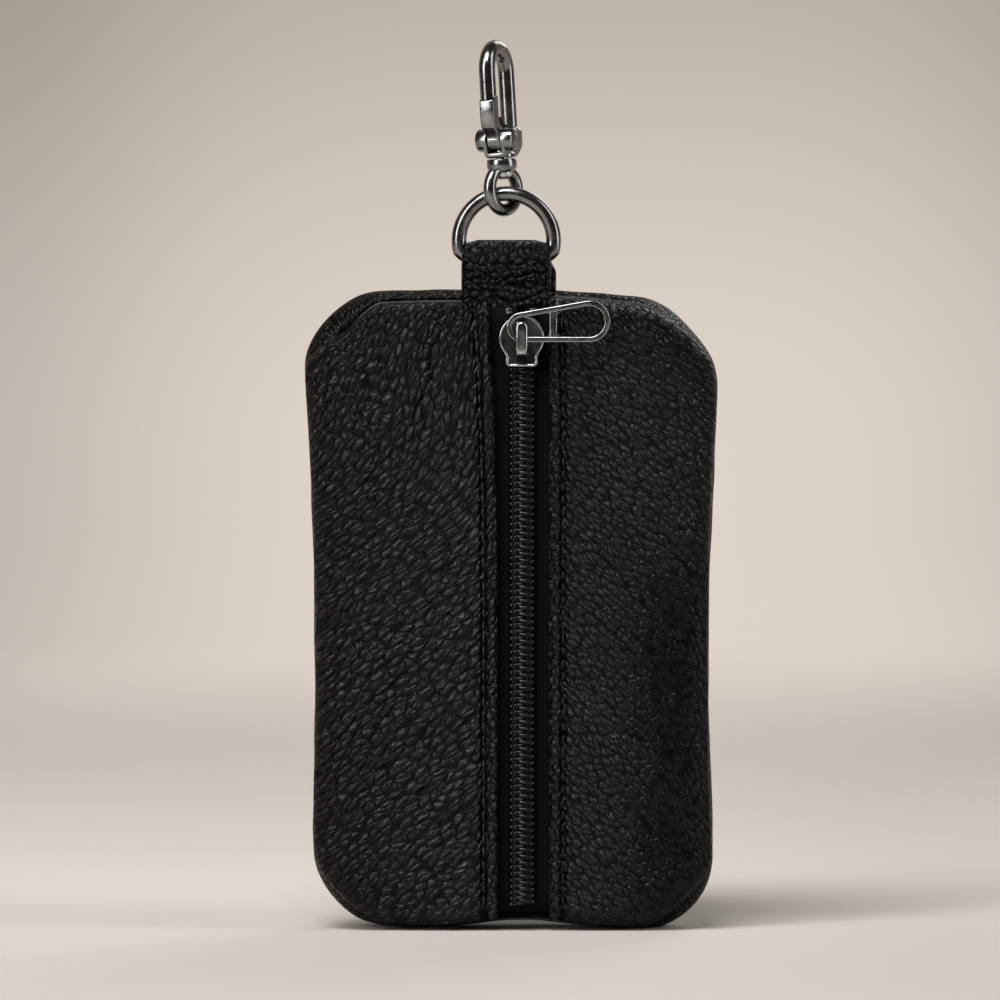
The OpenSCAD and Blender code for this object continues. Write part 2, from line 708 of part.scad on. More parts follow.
module gate_pin() color(gunmetal) hook_frame() translate([pivot_u, 0, pivot_z])
    rotate([90, 0, 0]) {
        cylinder(h = boss_span + pin_head_t, d = pin_d, center = true);
        for (side = [-1, 1]) translate([0, 0, side * (boss_span + pin_head_t) / 2])
            cylinder(h = pin_head_t, d = pin_head_d, center = true);
    }

// Leaf spring that pushes the gate shut from the spine's side
leaf_t = 0.25;

module gate_spring() color(steel) hook_frame() plate(-gate_t / 4, gate_t / 4)
    polygon([[claw_r - hook_wire / 2 - rest_gap, pivot_z + boss_d / 2 + rest_gap],
        [claw_r - hook_wire / 2 - rest_gap, pivot_z + boss_d / 2 + rest_gap + leaf_t],
        [pivot_u + gate_knuckle / 2 + leaf_t, pivot_z + gate_l / 3 + leaf_t],
        [pivot_u + gate_knuckle / 4, pivot_z + gate_l / 2],
        [pivot_u + gate_knuckle / 4, pivot_z + gate_l / 2 - leaf_t],
        [pivot_u + gate_knuckle / 2, pivot_z + gate_l / 3]]);

back_panel();
front_left_panel();
front_right_panel();
back_lining();
front_left_lining();
front_right_lining();
tape_left();
tape_right();
coil_left();
coil_right();
top_stop_left();
top_stop_right();
hanger_tab();
key_strap();
strap_rivet();
key_ring();
slider_body();
slider_bridge();
lock_spring();
puller();
d_ring();
swivel_eye();
swivel_post();
hook_body();
gate();
gate_pin();
gate_spring();
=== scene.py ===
"""Looks of a small leather key case with a zip, a D-ring and a swivel snap hook.

Lengths are millimetres in the case's own frame, and become metres when a mesh is made.
X runs to the right, Z up, and the zip faces -Y.
"""

from __future__ import annotations

import logging
import math
from collections.abc import Callable, Sequence
from dataclasses import dataclass, field
from enum import Enum
from functools import cached_property
from typing import Any

import bmesh
import bpy
from mathutils import Matrix, Vector, noise


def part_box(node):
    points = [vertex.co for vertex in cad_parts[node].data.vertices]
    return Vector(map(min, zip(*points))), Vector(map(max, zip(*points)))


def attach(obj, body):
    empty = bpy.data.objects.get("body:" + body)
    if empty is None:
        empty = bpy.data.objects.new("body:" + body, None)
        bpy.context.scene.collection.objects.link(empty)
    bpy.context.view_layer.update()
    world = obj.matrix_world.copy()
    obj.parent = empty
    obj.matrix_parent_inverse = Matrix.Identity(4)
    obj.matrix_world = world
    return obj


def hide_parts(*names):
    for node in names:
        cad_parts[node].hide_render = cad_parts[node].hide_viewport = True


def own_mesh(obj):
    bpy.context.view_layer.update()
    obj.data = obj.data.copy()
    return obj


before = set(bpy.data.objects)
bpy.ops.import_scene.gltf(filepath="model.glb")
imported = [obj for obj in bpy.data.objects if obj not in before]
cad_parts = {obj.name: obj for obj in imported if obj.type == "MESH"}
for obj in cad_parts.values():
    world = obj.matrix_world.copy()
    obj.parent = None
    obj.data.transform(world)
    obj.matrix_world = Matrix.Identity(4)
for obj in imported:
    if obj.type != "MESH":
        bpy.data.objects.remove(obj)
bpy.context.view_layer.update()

LOG = logging.getLogger("key_case")
MM = 0.001
CASE_Y = 2.175
CASE_FRAME = Matrix.Translation((0.0, CASE_Y, 0.0))
TURN = 2.0 * math.pi
AXIS_X = Vector((1.0, 0.0, 0.0))
AXIS_Y = Vector((0.0, 1.0, 0.0))
AXIS_Z = Vector((0.0, 0.0, 1.0))

Triple = tuple[float, float, float]
Colour = Triple
Point = tuple[float, float]
Place = Callable[[int, int], tuple[Vector, Vector]]


class Side(Enum):
    """Side of the zip, seen from the front."""

    LEFT = -1
    RIGHT = 1

    @property
    def word(self) -> str:
        """Name of the side in lower case."""
        return self.name.lower()


class Slot(Enum):
    """Material slots of the record."""

    LEATHER = "leather"
    LINING = "lining"
    TAPE = "tape"
    COIL = "coil"
    GUNMETAL = "gunmetal"
    STEEL = "steel"


def blend(low: float, high: float, value: float) -> float:
    """Returns 0 below low, 1 above high and a smooth value between them.

    Args:
        low: Where the ramp starts.
        high: Where the ramp ends.
        value: The number to look up.

    Returns:
        A number from 0 to 1.
    """
    share = min(1.0, max(0.0, (value - low) / (high - low)))
    return share * share * (3.0 - 2.0 * share)


def bump(centre: float, reach: float, value: float) -> float:
    """Returns a bell curve of height 1 about centre."""
    return math.exp(-(((value - centre) / reach) ** 2))


def hills(x: float, z: float, reach: Point, seed: float) -> float:
    """Returns smooth noise whose hills are reach wide and high."""
    return noise.noise(Vector((x / reach[0], z / reach[1], seed)))


def turned(degrees: float, axis: str) -> Matrix:
    """Returns a turn about an axis."""
    return Matrix.Rotation(math.radians(degrees), 4, axis)


# Shaders


def operator_node(operation: str, swapped: bool = False) -> Callable[[Wire, Any], Wire]:
    """Makes an operator of Wire that adds a Math node.

    Args:
        operation: The node's operation.
        swapped: True where the wire is the second input.

    Returns:
        The method.
    """

    def method(self: Wire, other: Any) -> Wire:
        """Adds the Math node."""
        return self.math(operation, first=other) if swapped else self.math(operation, other)

    return method


class Wire:
    """A shader socket that takes part in sums like a number."""

    def __init__(self, graph: Graph, socket: bpy.types.NodeSocket) -> None:
        """Keeps the socket and the graph that it belongs to."""
        self.graph = graph
        self.socket = socket

    def math(self, operation: str, *others: Any, first: Any = None) -> Wire:
        """Adds a Math node on this wire.

        Args:
            operation: The node's operation.
            others: Its other inputs, in order.
            first: A value that goes before this wire.

        Returns:
            The node's result.
        """
        inputs = [self, *others] if first is None else [first, self]
        return self.graph.node("Math", {"operation": operation}, dict(enumerate(inputs)))

    __add__ = __radd__ = operator_node("ADD")
    __mul__ = __rmul__ = operator_node("MULTIPLY")
    __sub__, __rsub__ = operator_node("SUBTRACT"), operator_node("SUBTRACT", True)
    __truediv__ = operator_node("DIVIDE")

    def ramp(self, low: float, high: float, to: Point = (0.0, 1.0)) -> Wire:
        """Maps the wire smoothly from low..high to the range to.

        Args:
            low: Value that becomes the first end of the range.
            high: Value that becomes its second end.
            to: The range.

        Returns:
            The mapped wire.
        """
        ends = {"Value": self, "From Min": low, "From Max": high, "To Min": to[0], "To Max": to[1]}
        return self.graph.node("MapRange", {"interpolation_type": "SMOOTHSTEP"}, ends)

    def shift(self, operation: str, other: Any) -> Wire:
        """Adds a Vector Math node on this wire."""
        return self.graph.node("VectorMath", {"operation": operation}, {0: self, 1: other})

    def other(self, output: str | int) -> Wire:
        """Returns another output of the same node, by name or number."""
        return Wire(self.graph, self.socket.node.outputs[output])


class Graph:
    """The node tree of one material."""

    def __init__(self, name: str) -> None:
        """Makes the material with an empty tree.

        Args:
            name: The material's name.
        """
        self.material = bpy.data.materials.new(name)
        self.material.use_nodes = True
        self.material.node_tree.nodes.clear()

    def node(
        self,
        kind: str,
        settings: dict[str, Any] | None = None,
        values: dict[Any, Any] | None = None,
    ) -> Wire:
        """Adds one node.

        Args:
            kind: The node's type, without its first two words.
            settings: Its properties.
            values: Numbers, colours or wires for its inputs.

        Returns:
            The node's first enabled output.
        """
        made = self.material.node_tree.nodes.new(f"ShaderNode{kind}")
        for key, value in (settings or {}).items():
            setattr(made, key, value)
        for key, value in (values or {}).items():
            if isinstance(value, Wire):
                self.material.node_tree.links.new(value.socket, made.inputs[key])
            else:
                made.inputs[key].default_value = value
        outputs = [o for o in made.outputs if o.enabled]
        return Wire(self, outputs[0]) if outputs else Wire(self, None)

    def attribute(self, name: str) -> Wire:
        """Returns a mesh attribute as a vector."""
        return self.node("Attribute", {"attribute_name": name}).other("Vector")

    def axes(self, vector: Wire) -> tuple[Wire, Wire, Wire]:
        """Splits a vector into its three numbers."""
        split = self.node("SeparateXYZ", values={0: vector})
        return split, split.other("Y"), split.other("Z")

    def joined(self, x: Any, y: Any, z: Any = 0.0) -> Wire:
        """Joins three numbers into a vector."""
        return self.node("CombineXYZ", values={0: x, 1: y, 2: z})

    def place(self) -> Wire:
        """Returns the Object coordinates in millimetres."""
        where = self.node("TexCoord").other("Object")
        return self.node("VectorMath", {"operation": "SCALE"}, {0: where, "Scale": 1.0 / MM})

    def grainy(self, vector: Wire, scale: float, detail: float = 2.0, dims: str = "3D") -> Wire:
        """Adds a Noise texture whose features are about 1 / scale millimetres wide."""
        values = {"Vector": vector, "Scale": scale, "Detail": detail}
        return self.node("TexNoise", {"noise_dimensions": dims}, values)

    def mixed(self, share: Any, low: Colour | Wire, high: Colour | Wire) -> Wire:
        """Mixes two colours by share.

        Args:
            share: Share of the second colour.
            low: The first colour.
            high: The second colour.

        Returns:
            The mixed colour.
        """
        ends = [v if isinstance(v, Wire) else (*v, 1.0) for v in (low, high)]
        values = {"Factor": share, 6: ends[0], 7: ends[1]}
        return self.node("Mix", {"data_type": "RGBA"}, values).other(2)

    def bumped(self, height: Wire, distance: float, strength: float = 1.0) -> Wire:
        """Adds a Bump node whose height of 1 is distance millimetres."""
        values = {"Height": height, "Distance": distance * MM, "Strength": strength}
        return self.node("Bump", values=values)

    def shaded(self, **values: Any) -> bpy.types.Material:
        """Closes the tree with a Principled shader.

        Args:
            values: Its inputs, with underscores for spaces.

        Returns:
            The finished material.
        """
        return self.closed(self.principled(**values))

    def principled(self, **values: Any) -> Wire:
        """Adds a Principled shader; its inputs' names have underscores for spaces."""
        inputs = {key.replace("_", " "): value for key, value in values.items()}
        return self.node("BsdfPrincipled", values=inputs)

    def closed(self, surface: Wire) -> bpy.types.Material:
        """Closes the tree with a shader and returns the finished material."""
        self.node("OutputMaterial", values={"Surface": surface})
        return self.material

    def wandered(self, vector: Wire, scale: float, detail: float, reach: float) -> Wire:
        """Moves a flat place at random.

        Args:
            vector: The place; the noise itself follows the grain attribute.
            scale: Scale of the noise.
            detail: Detail of the noise.
            reach: How far a place moves.

        Returns:
            The moved place.
        """
        drift = self.grainy(self.grain, scale, detail, "2D").other("Color")
        drift = drift.shift("SUBTRACT", (0.5, 0.5, 0.5))
        return vector.shift("ADD", drift.shift("MULTIPLY", (reach, reach, 0.0)))

    @cached_property
    def grain(self) -> Wire:
        """Returns the mesh's grain attribute."""
        return self.attribute("grain")


@dataclass(frozen=True)
class Leather:
    """Black leather with a pebbled grain that follows the piece's own grain attribute.

    The attribute holds the flat place in millimetres and the strength of the grain. The
    creases between the pebbles lie in their own shade, so they take less of the gloss; their
    colour is painted darker than the pebble tops, as painted shade.
    """

    name: str = "leather_pebbled"
    # Colour of the creases, painted dark as painted shade, and of the pebble tops
    low: Colour = (0.0004, 0.0004, 0.0004)
    high: Colour = (0.0039, 0.0039, 0.004)
    pebble: float = 1.6
    relief: float = 1.15
    rough: float = 0.28
    specular: float = 0.3
    wander: float = 1.3
    jitter: float = 0.4
    # Heights between which a pebble comes out of the shade
    gloss: Point = (0.09, 0.7)

    def domes(self, g: Graph, where: Wire, pebble: float, crease: float) -> tuple[Wire, Wire]:
        """Lays convex pebbles with creases between them.

        Args:
            g: The graph.
            where: The flat place.
            pebble: Width of a pebble.
            crease: Half the width of a crease, as a share of a pebble.

        Returns:
            The pebbles' height from 0 to 1, and 1 outside the creases.
        """
        settings = {"voronoi_dimensions": "2D", "feature": "F1"}
        values = {"Vector": where, "Scale": 1.0 / pebble, "Randomness": 0.92}
        middle = g.node("TexVoronoi", settings, values)
        edge = g.node("TexVoronoi", {**settings, "feature": "DISTANCE_TO_EDGE"}, values)
        clear = edge.ramp(0.0, crease)
        swell = (1.0 - middle * middle * 1.9).math("MAXIMUM", 0.0)
        return swell * (0.5 + clear * 0.5), clear

    @cached_property
    def material(self) -> bpy.types.Material:
        """Builds the material once.

        Returns:
            The material.
        """
        g = Graph(self.name)
        grain = g.grain
        _, _, strength = g.axes(grain)
        bent = g.wandered(grain, 0.42, 2.0, self.wander)
        bent = g.wandered(bent, 1.4, 1.0, self.jitter)
        big, clear = self.domes(g, bent, self.pebble, 0.26)
        small, _ = self.domes(g, bent, self.pebble * 0.5, 0.24)
        patch = g.grainy(grain, 0.1, 2.0, "2D")
        pores = g.grainy(grain, 5.5, 3.0, "2D")
        height = big * 0.83 + small * clear * 0.1 + pores * 0.07
        depth = strength * patch.ramp(0.3, 0.65, (0.75, 1.1))
        # Painted shade: the base colour is dark in the creases between pebbles and lighter on their
        # tops
        top = (big * (0.66 + small * 0.34)).ramp(0.2, 0.88)
        shade = (top * strength + (1.0 - strength) * 0.2) * patch.ramp(0.25, 0.75, (0.45, 1.0))
        tone = g.mixed(shade + pores * 0.05, self.low, self.high)
        normal = g.bumped(height * depth, self.relief)
        open_share = (big.ramp(*self.gloss) * 0.5 + 0.5) * (strength * 0.6 + 0.4)
        inputs = {"Base_Color": tone, "Normal": normal}
        dull = g.principled(Roughness=0.7, Specular_IOR_Level=0.02, **inputs)
        glossy = g.principled(
            Roughness=pores * 0.06 + self.rough, Specular_IOR_Level=self.specular, **inputs
        )
        return g.closed(g.node("MixShader", values={0: open_share, 1: dull, 2: glossy}))


@dataclass(frozen=True)
class Woven:
    """Woven cloth whose threads follow the grain attribute: a zip tape or a lining."""

    name: str
    low: Colour
    high: Colour
    rib: float
    pick: float
    relief: float = 0.09

    @cached_property
    def material(self) -> bpy.types.Material:
        """Builds the material once.

        Returns:
            The material.
        """
        g = Graph(self.name)
        across, along, _ = g.axes(g.grain)
        fuzz = g.grainy(g.grain, 7.0, 3.0)
        warp = (across * (TURN / self.rib) + fuzz * 0.7).math("SINE")
        lean = (across / self.rib).math("FLOOR").math("MODULO", 2.0) * math.pi
        weft = (along * (TURN / self.pick) + lean + fuzz * 0.8).math("SINE")
        height = warp * 0.34 + weft * 0.3 + fuzz * 0.36 + 0.3
        shade = height.ramp(0.0, 1.05)
        return g.shaded(
            Base_Color=g.mixed(shade, self.low, self.high),
            Roughness=0.92 - shade * 0.1,
            Specular_IOR_Level=0.09,
            Normal=g.bumped(height, self.relief),
        )


@dataclass(frozen=True)
class Smooth:
    """Moulded nylon, waxed thread, or a seam edge lighter in colour as a painted highlight: a plain
    body with fine unevenness.
    """

    name: str
    low: Colour
    high: Colour
    roughness: Point
    size: float = 0.8
    relief: float = 0.015
    specular: float = 0.5

    @cached_property
    def material(self) -> bpy.types.Material:
        """Builds the material once.

        Returns:
            The material.
        """
        g = Graph(self.name)
        place = g.place()
        broad = g.grainy(place, 0.5 / self.size, 2.0)
        fine = g.grainy(place, 6.0 / self.size, 3.0)
        return g.shaded(
            Base_Color=g.mixed(broad.ramp(0.3, 0.7), self.low, self.high),
            Roughness=fine.ramp(0.25, 0.75, self.roughness),
            Specular_IOR_Level=self.specular,
            Normal=g.bumped(fine, self.relief),
        )


@dataclass(frozen=True)
class Plated:
    """Polished plating with a faint cloud, hairline scratches and casting waves."""

    name: str
    low: Colour
    high: Colour
    roughness: Point = (0.1, 0.24)
    wave: float = 0.02

    @cached_property
    def material(self) -> bpy.types.Material:
        """Builds the material once.

        Returns:
            The material.
        """
        g = Graph(self.name)
        place = g.place()
        cloud = g.grainy(place, 0.35, 3.0)
        waves = g.grainy(place, 0.9, 1.0)
        stretched = place.shift("MULTIPLY", (1.0, 1.0, 9.0))
        hair = g.grainy(stretched, 2.2, 4.0)
        marks = hair.ramp(0.52, 0.72)
        return g.shaded(
            Base_Color=g.mixed(cloud.ramp(0.3, 0.7), self.low, self.high),
            Metallic=1.0,
            Roughness=cloud.ramp(0.3, 0.75, self.roughness) + marks * 0.07,
            Normal=g.bumped(waves + marks * 0.04, self.wave),
        )


@dataclass(frozen=True)
class Backdrop:
    """Plain paper sweep with a painted glow behind the case, its tone painted darker towards its sides
    and its top as painted light falloff.

    Far behind the case, where its lamps no longer reach, the paper shows its tone by itself.
    """

    name: str = "paper_sweep"
    near: Colour = (0.565, 0.523, 0.482)
    floor: Colour = (0.7, 0.638, 0.577)
    middle: Colour = (0.76, 0.68, 0.605)
    top: Colour = (0.477, 0.418, 0.355)
    level: float = 0.96

    @cached_property
    def material(self) -> bpy.types.Material:
        """Builds the material once.

        Returns:
            The material.
        """
        g = Graph(self.name)
        x, y, z = g.axes(g.place())
        tone = g.mixed(y.ramp(-120.0, 140.0), self.near, self.floor)
        far = y.ramp(300.0, 1000.0)
        tone = g.mixed(far, tone, self.middle)
        tone = g.mixed(z.ramp(30.0, 300.0), tone, self.top)
        # Painted light falloff: the tone darkens towards the sides, more so far behind the case
        aside = (x - far * 79.0 + 60.0) / (y.math("MAXIMUM", 0.0) * 0.055 + 150.0)
        painted_falloff = (aside * aside).ramp(0.0, 1.0) * (far * 0.15 + 0.12)
        tone = tone.shift("MULTIPLY", g.joined(1.0 - painted_falloff, 1.0 - painted_falloff, 1.0 - painted_falloff))
        fibre = g.grainy(g.place(), 1.5, 3.0)
        paper = g.principled(Base_Color=tone, Roughness=0.66, Normal=g.bumped(fibre, 0.02))
        # Painted glow: far behind the case the paper emits its tone to camera, glossy and transmission
        # rays
        painted_glow = g.node("Emission", values={"Color": tone, "Strength": self.level})
        ray = g.node("LightPath")
        seen = ray.math("MAXIMUM", ray.other("Is Glossy Ray"))
        seen = seen.math("MAXIMUM", ray.other("Is Transmission Ray"))
        mix = {0: seen * y.ramp(350.0, 900.0), 1: paper, 2: painted_glow}
        return g.closed(g.node("MixShader", values=mix))


LEATHER = Leather()
TAB_LEATHER = Leather(
    name="leather_tab", high=(0.012, 0.012, 0.0121), pebble=1.4, relief=0.8, specular=0.17
)
# The seam edge's lighter colour is a painted highlight along the front panels' edge
SEAM_EDGE_HIGHLIGHT = Smooth(
    "leather_edge", (0.004, 0.004, 0.004), (0.03, 0.03, 0.0305), (0.4, 0.6), 0.6, 0.05
)
THREAD = Smooth("sewing_thread", (0.003, 0.003, 0.003), (0.01, 0.01, 0.0102), (0.5, 0.7), 0.25, 0.04)
COIL_THREAD = Smooth(
    "coil_sewing", (0.0012, 0.0012, 0.0012), (0.005, 0.005, 0.0051), (0.55, 0.75), 0.25, 0.03, 0.15
)
TAPE = Woven("tape_woven", (0.001, 0.001, 0.001), (0.0034, 0.0034, 0.0035), 0.62, 0.5)
LINING = Woven("lining_woven", (0.012, 0.012, 0.012), (0.035, 0.035, 0.036), 0.5, 0.5, 0.06)
NYLON = Smooth(
    "coil_nylon", (0.0015, 0.0015, 0.0015), (0.004, 0.004, 0.0041), (0.14, 0.22), 1.0, 0.01
)
GUNMETAL = Plated("gunmetal_plate", (0.17, 0.168, 0.166), (0.245, 0.242, 0.237), (0.15, 0.25))
SLIDER_FACE = Plated("slider_face", (0.06, 0.06, 0.06), (0.105, 0.104, 0.103), (0.26, 0.38))
CROWN = Plated("crown_plate", (0.46, 0.457, 0.452), (0.58, 0.575, 0.565), (0.1, 0.2))
WIRE = Plated("puller_plate", (0.26, 0.257, 0.253), (0.35, 0.346, 0.34), (0.14, 0.24))
# Painted shade: near-black finish for blocks that stand in for the shade inside small recesses
RECESS_SHADE = Smooth("recess_painted_shade", (0.002, 0.002, 0.002), (0.004, 0.004, 0.004), (0.6, 0.8), 0.6, 0.01, 0.1)
STEEL = Plated("bright_steel", (0.55, 0.55, 0.555), (0.66, 0.655, 0.65), (0.16, 0.3))
DARK_STEEL = Plated("dark_steel", (0.2, 0.2, 0.205), (0.28, 0.28, 0.28), (0.2, 0.32))
SPRING = Plated("spring_steel", (0.08, 0.08, 0.082), (0.12, 0.12, 0.12), (0.42, 0.56))


# Meshes


class Shape:
    """A mesh under construction, in millimetres."""

    def __init__(self) -> None:
        """Starts with an empty mesh that has the grain attribute."""
        self.bm = bmesh.new()
        self.grain = self.bm.verts.layers.float_vector.new("grain")

    @classmethod
    def grid(
        cls,
        cols: int,
        rows: int,
        place: Place,
        weld: float = 1e-4,
        spare: Callable[[float, float], bool] | None = None,
    ) -> Shape:
        """Lays a grid on a surface.

        Args:
            cols: Number of faces across.
            rows: Number of faces along.
            place: Gives a point and its grain for a column and a row.
            weld: Points closer than this are merged.
            spare: Says which faces are left out, by column and row.

        Returns:
            The shape.
        """
        shape = cls()
        bmesh.ops.create_grid(shape.bm, x_segments=cols, y_segments=rows, size=0.5)
        if spare:
            middles = [(f, f.calc_center_median()) for f in shape.bm.faces]
            left_out = [f for f, m in middles if spare((m.x + 0.5) * cols, (m.y + 0.5) * rows)]
            bmesh.ops.delete(shape.bm, geom=left_out, context="FACES")
        for vert in shape.bm.verts:
            i = round((vert.co.x + 0.5) * cols)
            j = round((vert.co.y + 0.5) * rows)
            vert.co, vert[shape.grain] = place(i, j)
        bmesh.ops.remove_doubles(shape.bm, verts=shape.bm.verts[:], dist=weld)
        return shape

    @classmethod
    def sweep(
        cls,
        path: Sequence[Vector],
        section: Sequence[Point],
        across: Vector,
        closed: bool = False,
    ) -> Shape:
        """Sweeps a section along a path.

        Args:
            path: Points of the path.
            section: The section's points, as offsets along across and the third direction.
            across: The section's first direction, kept square to the path.
            closed: True where the path joins its start.

        Returns:
            The shape, with its ends capped.
        """
        count = len(path)
        frames: list[tuple[Vector, Vector]] = []
        lengths = [0.0]
        for k, point in enumerate(path):
            after = path[(k + 1) % count] if closed or k + 1 < count else point
            before = path[k - 1] if closed or k else point
            ahead = (after - before).normalized()
            first = (across - ahead * across.dot(ahead)).normalized()
            frames.append((first, ahead.cross(first)))
            lengths.append(lengths[-1] + (after - point).length)
        sides = len(section)

        def place(i: int, j: int) -> tuple[Vector, Vector]:
            """Places a point of the section at a point of the path.

            Args:
                i: Number of the section's point.
                j: Number of the path's point.

            Returns:
                The point and its grain.
            """
            k = j % count
            a, b = section[i % sides]
            first, second = frames[k]
            return path[k] + first * a + second * b, Vector((a + b * 0.5, lengths[j], 0.8))

        shape = cls.grid(sides, count if closed else count - 1, place)
        return shape.outward() if closed else shape.capped()

    @classmethod
    def plate(cls, outline: Sequence[Point], y0: float, y1: float) -> Shape:
        """Extrudes an outline of the x-z plane from y0 to y1.

        Args:
            outline: Its points, x and z.
            y0: Place of the first face.
            y1: Place of the other face.

        Returns:
            The shape.
        """
        shape = cls()
        verts = [shape.bm.verts.new((x, y0, z)) for x, z in outline]
        face = shape.bm.faces.new(verts)
        made = bmesh.ops.extrude_face_region(shape.bm, geom=[face])["geom"]
        moved = [g for g in made if isinstance(g, bmesh.types.BMVert)]
        bmesh.ops.translate(shape.bm, verts=moved, vec=(0.0, y1 - y0, 0.0))
        return shape.outward()

    @classmethod
    def lathe(cls, profile: Sequence[Point], steps: int = 40) -> Shape:
        """Spins a profile of radius and height about Z.

        Args:
            profile: The profile's points.
            steps: Number of faces round the axis.

        Returns:
            The shape.
        """
        shape = cls()
        verts = [shape.bm.verts.new((r, 0.0, z)) for r, z in profile]
        edges = [shape.bm.edges.new(pair) for pair in zip(verts, verts[1:])]
        turn = {"axis": AXIS_Z, "angle": TURN, "steps": steps, "use_merge": True}
        bmesh.ops.spin(shape.bm, geom=verts + edges, cent=Vector(), **turn)
        bmesh.ops.remove_doubles(shape.bm, verts=shape.bm.verts[:], dist=1e-4)
        return shape.outward()

    @classmethod
    def block(cls, low: Vector, high: Vector, edge: float) -> Shape:
        """Makes a box between two corners with rounded edges.

        Args:
            low: The lowest corner.
            high: The highest corner.
            edge: Radius of the edges.

        Returns:
            The shape.
        """
        shape = cls()
        size = high - low
        bmesh.ops.create_cube(shape.bm, size=1.0)
        bmesh.ops.scale(shape.bm, verts=shape.bm.verts[:], vec=size)
        bmesh.ops.translate(shape.bm, verts=shape.bm.verts[:], vec=(low + high) / 2)
        return shape.rounded(edge, 2)

    def capped(self) -> Shape:
        """Closes the open ends and turns the faces outwards.

        Returns:
            The same shape.
        """
        edges = [e for e in self.bm.edges if e.is_boundary]
        bmesh.ops.holes_fill(self.bm, edges=edges, sides=0)
        return self.outward()

    def outward(self) -> Shape:
        """Turns the faces outwards."""
        bmesh.ops.recalc_face_normals(self.bm, faces=self.bm.faces[:])
        return self

    def rounded(self, width: float, segments: int = 3, sharp: float = 30.0) -> Shape:
        """Bevels the edges that are sharper than an angle.

        Args:
            width: Width of the bevel.
            segments: Number of faces across it.
            sharp: The angle, in degrees.

        Returns:
            The same shape.
        """
        limit = math.radians(sharp)
        edges = [e for e in self.bm.edges if e.is_manifold and e.calc_face_angle(0.0) > limit]
        form = {"offset": width, "segments": segments, "profile": 0.5, "clamp_overlap": True}
        bmesh.ops.bevel(self.bm, geom=edges, affect="EDGES", material=-1, **form)
        return self

    def moved(self, matrix: Matrix) -> Shape:
        """Transforms the shape."""
        bmesh.ops.transform(self.bm, matrix=matrix, verts=self.bm.verts[:])
        return self

    def add(self, *others: Shape) -> Shape:
        """Takes other shapes in as they stand.

        Args:
            others: The shapes, which are used up.

        Returns:
            The same shape.
        """
        for other in others:
            mesh = bpy.data.meshes.new("part")
            other.bm.to_mesh(mesh)
            other.bm.free()
            self.bm.from_mesh(mesh)
            bpy.data.meshes.remove(mesh)
        return self

    def piece(
        self,
        name: str,
        finish: Any,
        body: str,
        slot: Slot,
        stands_for: Sequence[str] = (),
        frame: Matrix = CASE_FRAME,
        smooth: float = 35.0,
    ) -> bpy.types.Object:
        """Makes the finished object, in metres.

        Args:
            name: The object's name.
            finish: The finish that it wears.
            body: The body that it moves with.
            slot: The record's material slot; not used.
            stands_for: The CAD nodes that it replaces.
            frame: Places the shape's frame in the part's frame.
            smooth: Edges sharper than this angle stay sharp.

        Returns:
            The object.
        """
        self.moved(Matrix.Scale(MM, 4) @ frame)
        mesh = bpy.data.meshes.new(name)
        self.bm.to_mesh(mesh)
        self.bm.free()
        mesh.shade_smooth()
        mesh.set_sharp_from_angle(angle=math.radians(smooth))
        mesh.materials.append(finish.material)
        made = bpy.data.objects.new(name, mesh)
        bpy.context.scene.collection.objects.link(made)
        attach(made, body)
        if stands_for:
            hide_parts(*stands_for)
        LOG.info("%s: %d faces on %s", name, len(mesh.polygons), body)
        return made


def circle(radius: float, sides: int) -> list[Point]:
    """Returns the points of a circle."""
    angles = [TURN * k / sides for k in range(sides)]
    return [(radius * math.cos(a), radius * math.sin(a)) for a in angles]


def arc(centre: Point, radius: float, start: float, end: float, steps: int) -> list[Point]:
    """Returns points on an arc, with its angles in degrees."""
    angles = [math.radians(start + (end - start) * k / steps) for k in range(steps + 1)]
    return [(centre[0] + radius * math.cos(a), centre[1] + radius * math.sin(a)) for a in angles]


def soft_box(half_a: float, half_b: float, corner: float, steps: int = 4) -> list[Point]:
    """Returns a rectangle with round corners, as a closed run of points.

    Args:
        half_a: Half its first side.
        half_b: Half its second side.
        corner: Radius of its corners.
        steps: Number of spans in each corner.

    Returns:
        The points.
    """
    a, b = half_a - corner, half_b - corner
    run: list[Point] = []
    for k, (x, y) in enumerate(((a, b), (-a, b), (-a, -b), (a, -b))):
        run += arc((x, y), corner, 90.0 * k, 90.0 * k + 90.0, steps)
    return run


def mirrored(half: Sequence[Point]) -> list[Point]:
    """Puts the mirror image of a profile's upper half below it."""
    return [(r, -z) for r, z in reversed(half)] + list(half)


def resampled(points: Sequence[Vector], step: float, closed: bool = False) -> list[Vector]:
    """Returns points a step apart along a smooth curve through the given ones.

    Args:
        points: Points that the curve passes.
        step: Distance between the new points.
        closed: True where the curve joins its start.

    Returns:
        The new points.
    """
    count = len(points)
    run: list[Vector] = []
    for k in range(count if closed else count - 1):
        near = [k + o if closed else min(max(k + o, 0), count - 1) for o in (-1, 0, 1, 2)]
        a, b, c, d = (points[n % count] for n in near)
        parts = max(1, round((c - b).length / step))
        for t in (n / parts for n in range(parts)):
            square = (2 * a - 5 * b + 4 * c - d) * t * t
            run.append(0.5 * (2 * b + (c - a) * t + square + (3 * b - a - 3 * c + d) * t**3))
    if not closed:
        run.append(points[-1].copy())
    return run


# The case


@dataclass(frozen=True)
class Slump:
    """A corner of the case that has sunk towards the middle."""

    x: float
    z: float
    reach_x: float
    reach_z: float
    pull: float

    def moved(self, x: float, z: float) -> Point:
        """Returns where a point goes, with the most at the slump's own place.

        Args:
            x: Place across.
            z: Height.

        Returns:
            The new place.
        """
        away = ((x - self.x) / self.reach_x) ** 2 + ((z - self.z) / self.reach_z) ** 2
        step = self.pull * math.sqrt(0.5) * math.exp(-away)
        return x - math.copysign(step, self.x), z - math.copysign(step, self.z - 60.0)


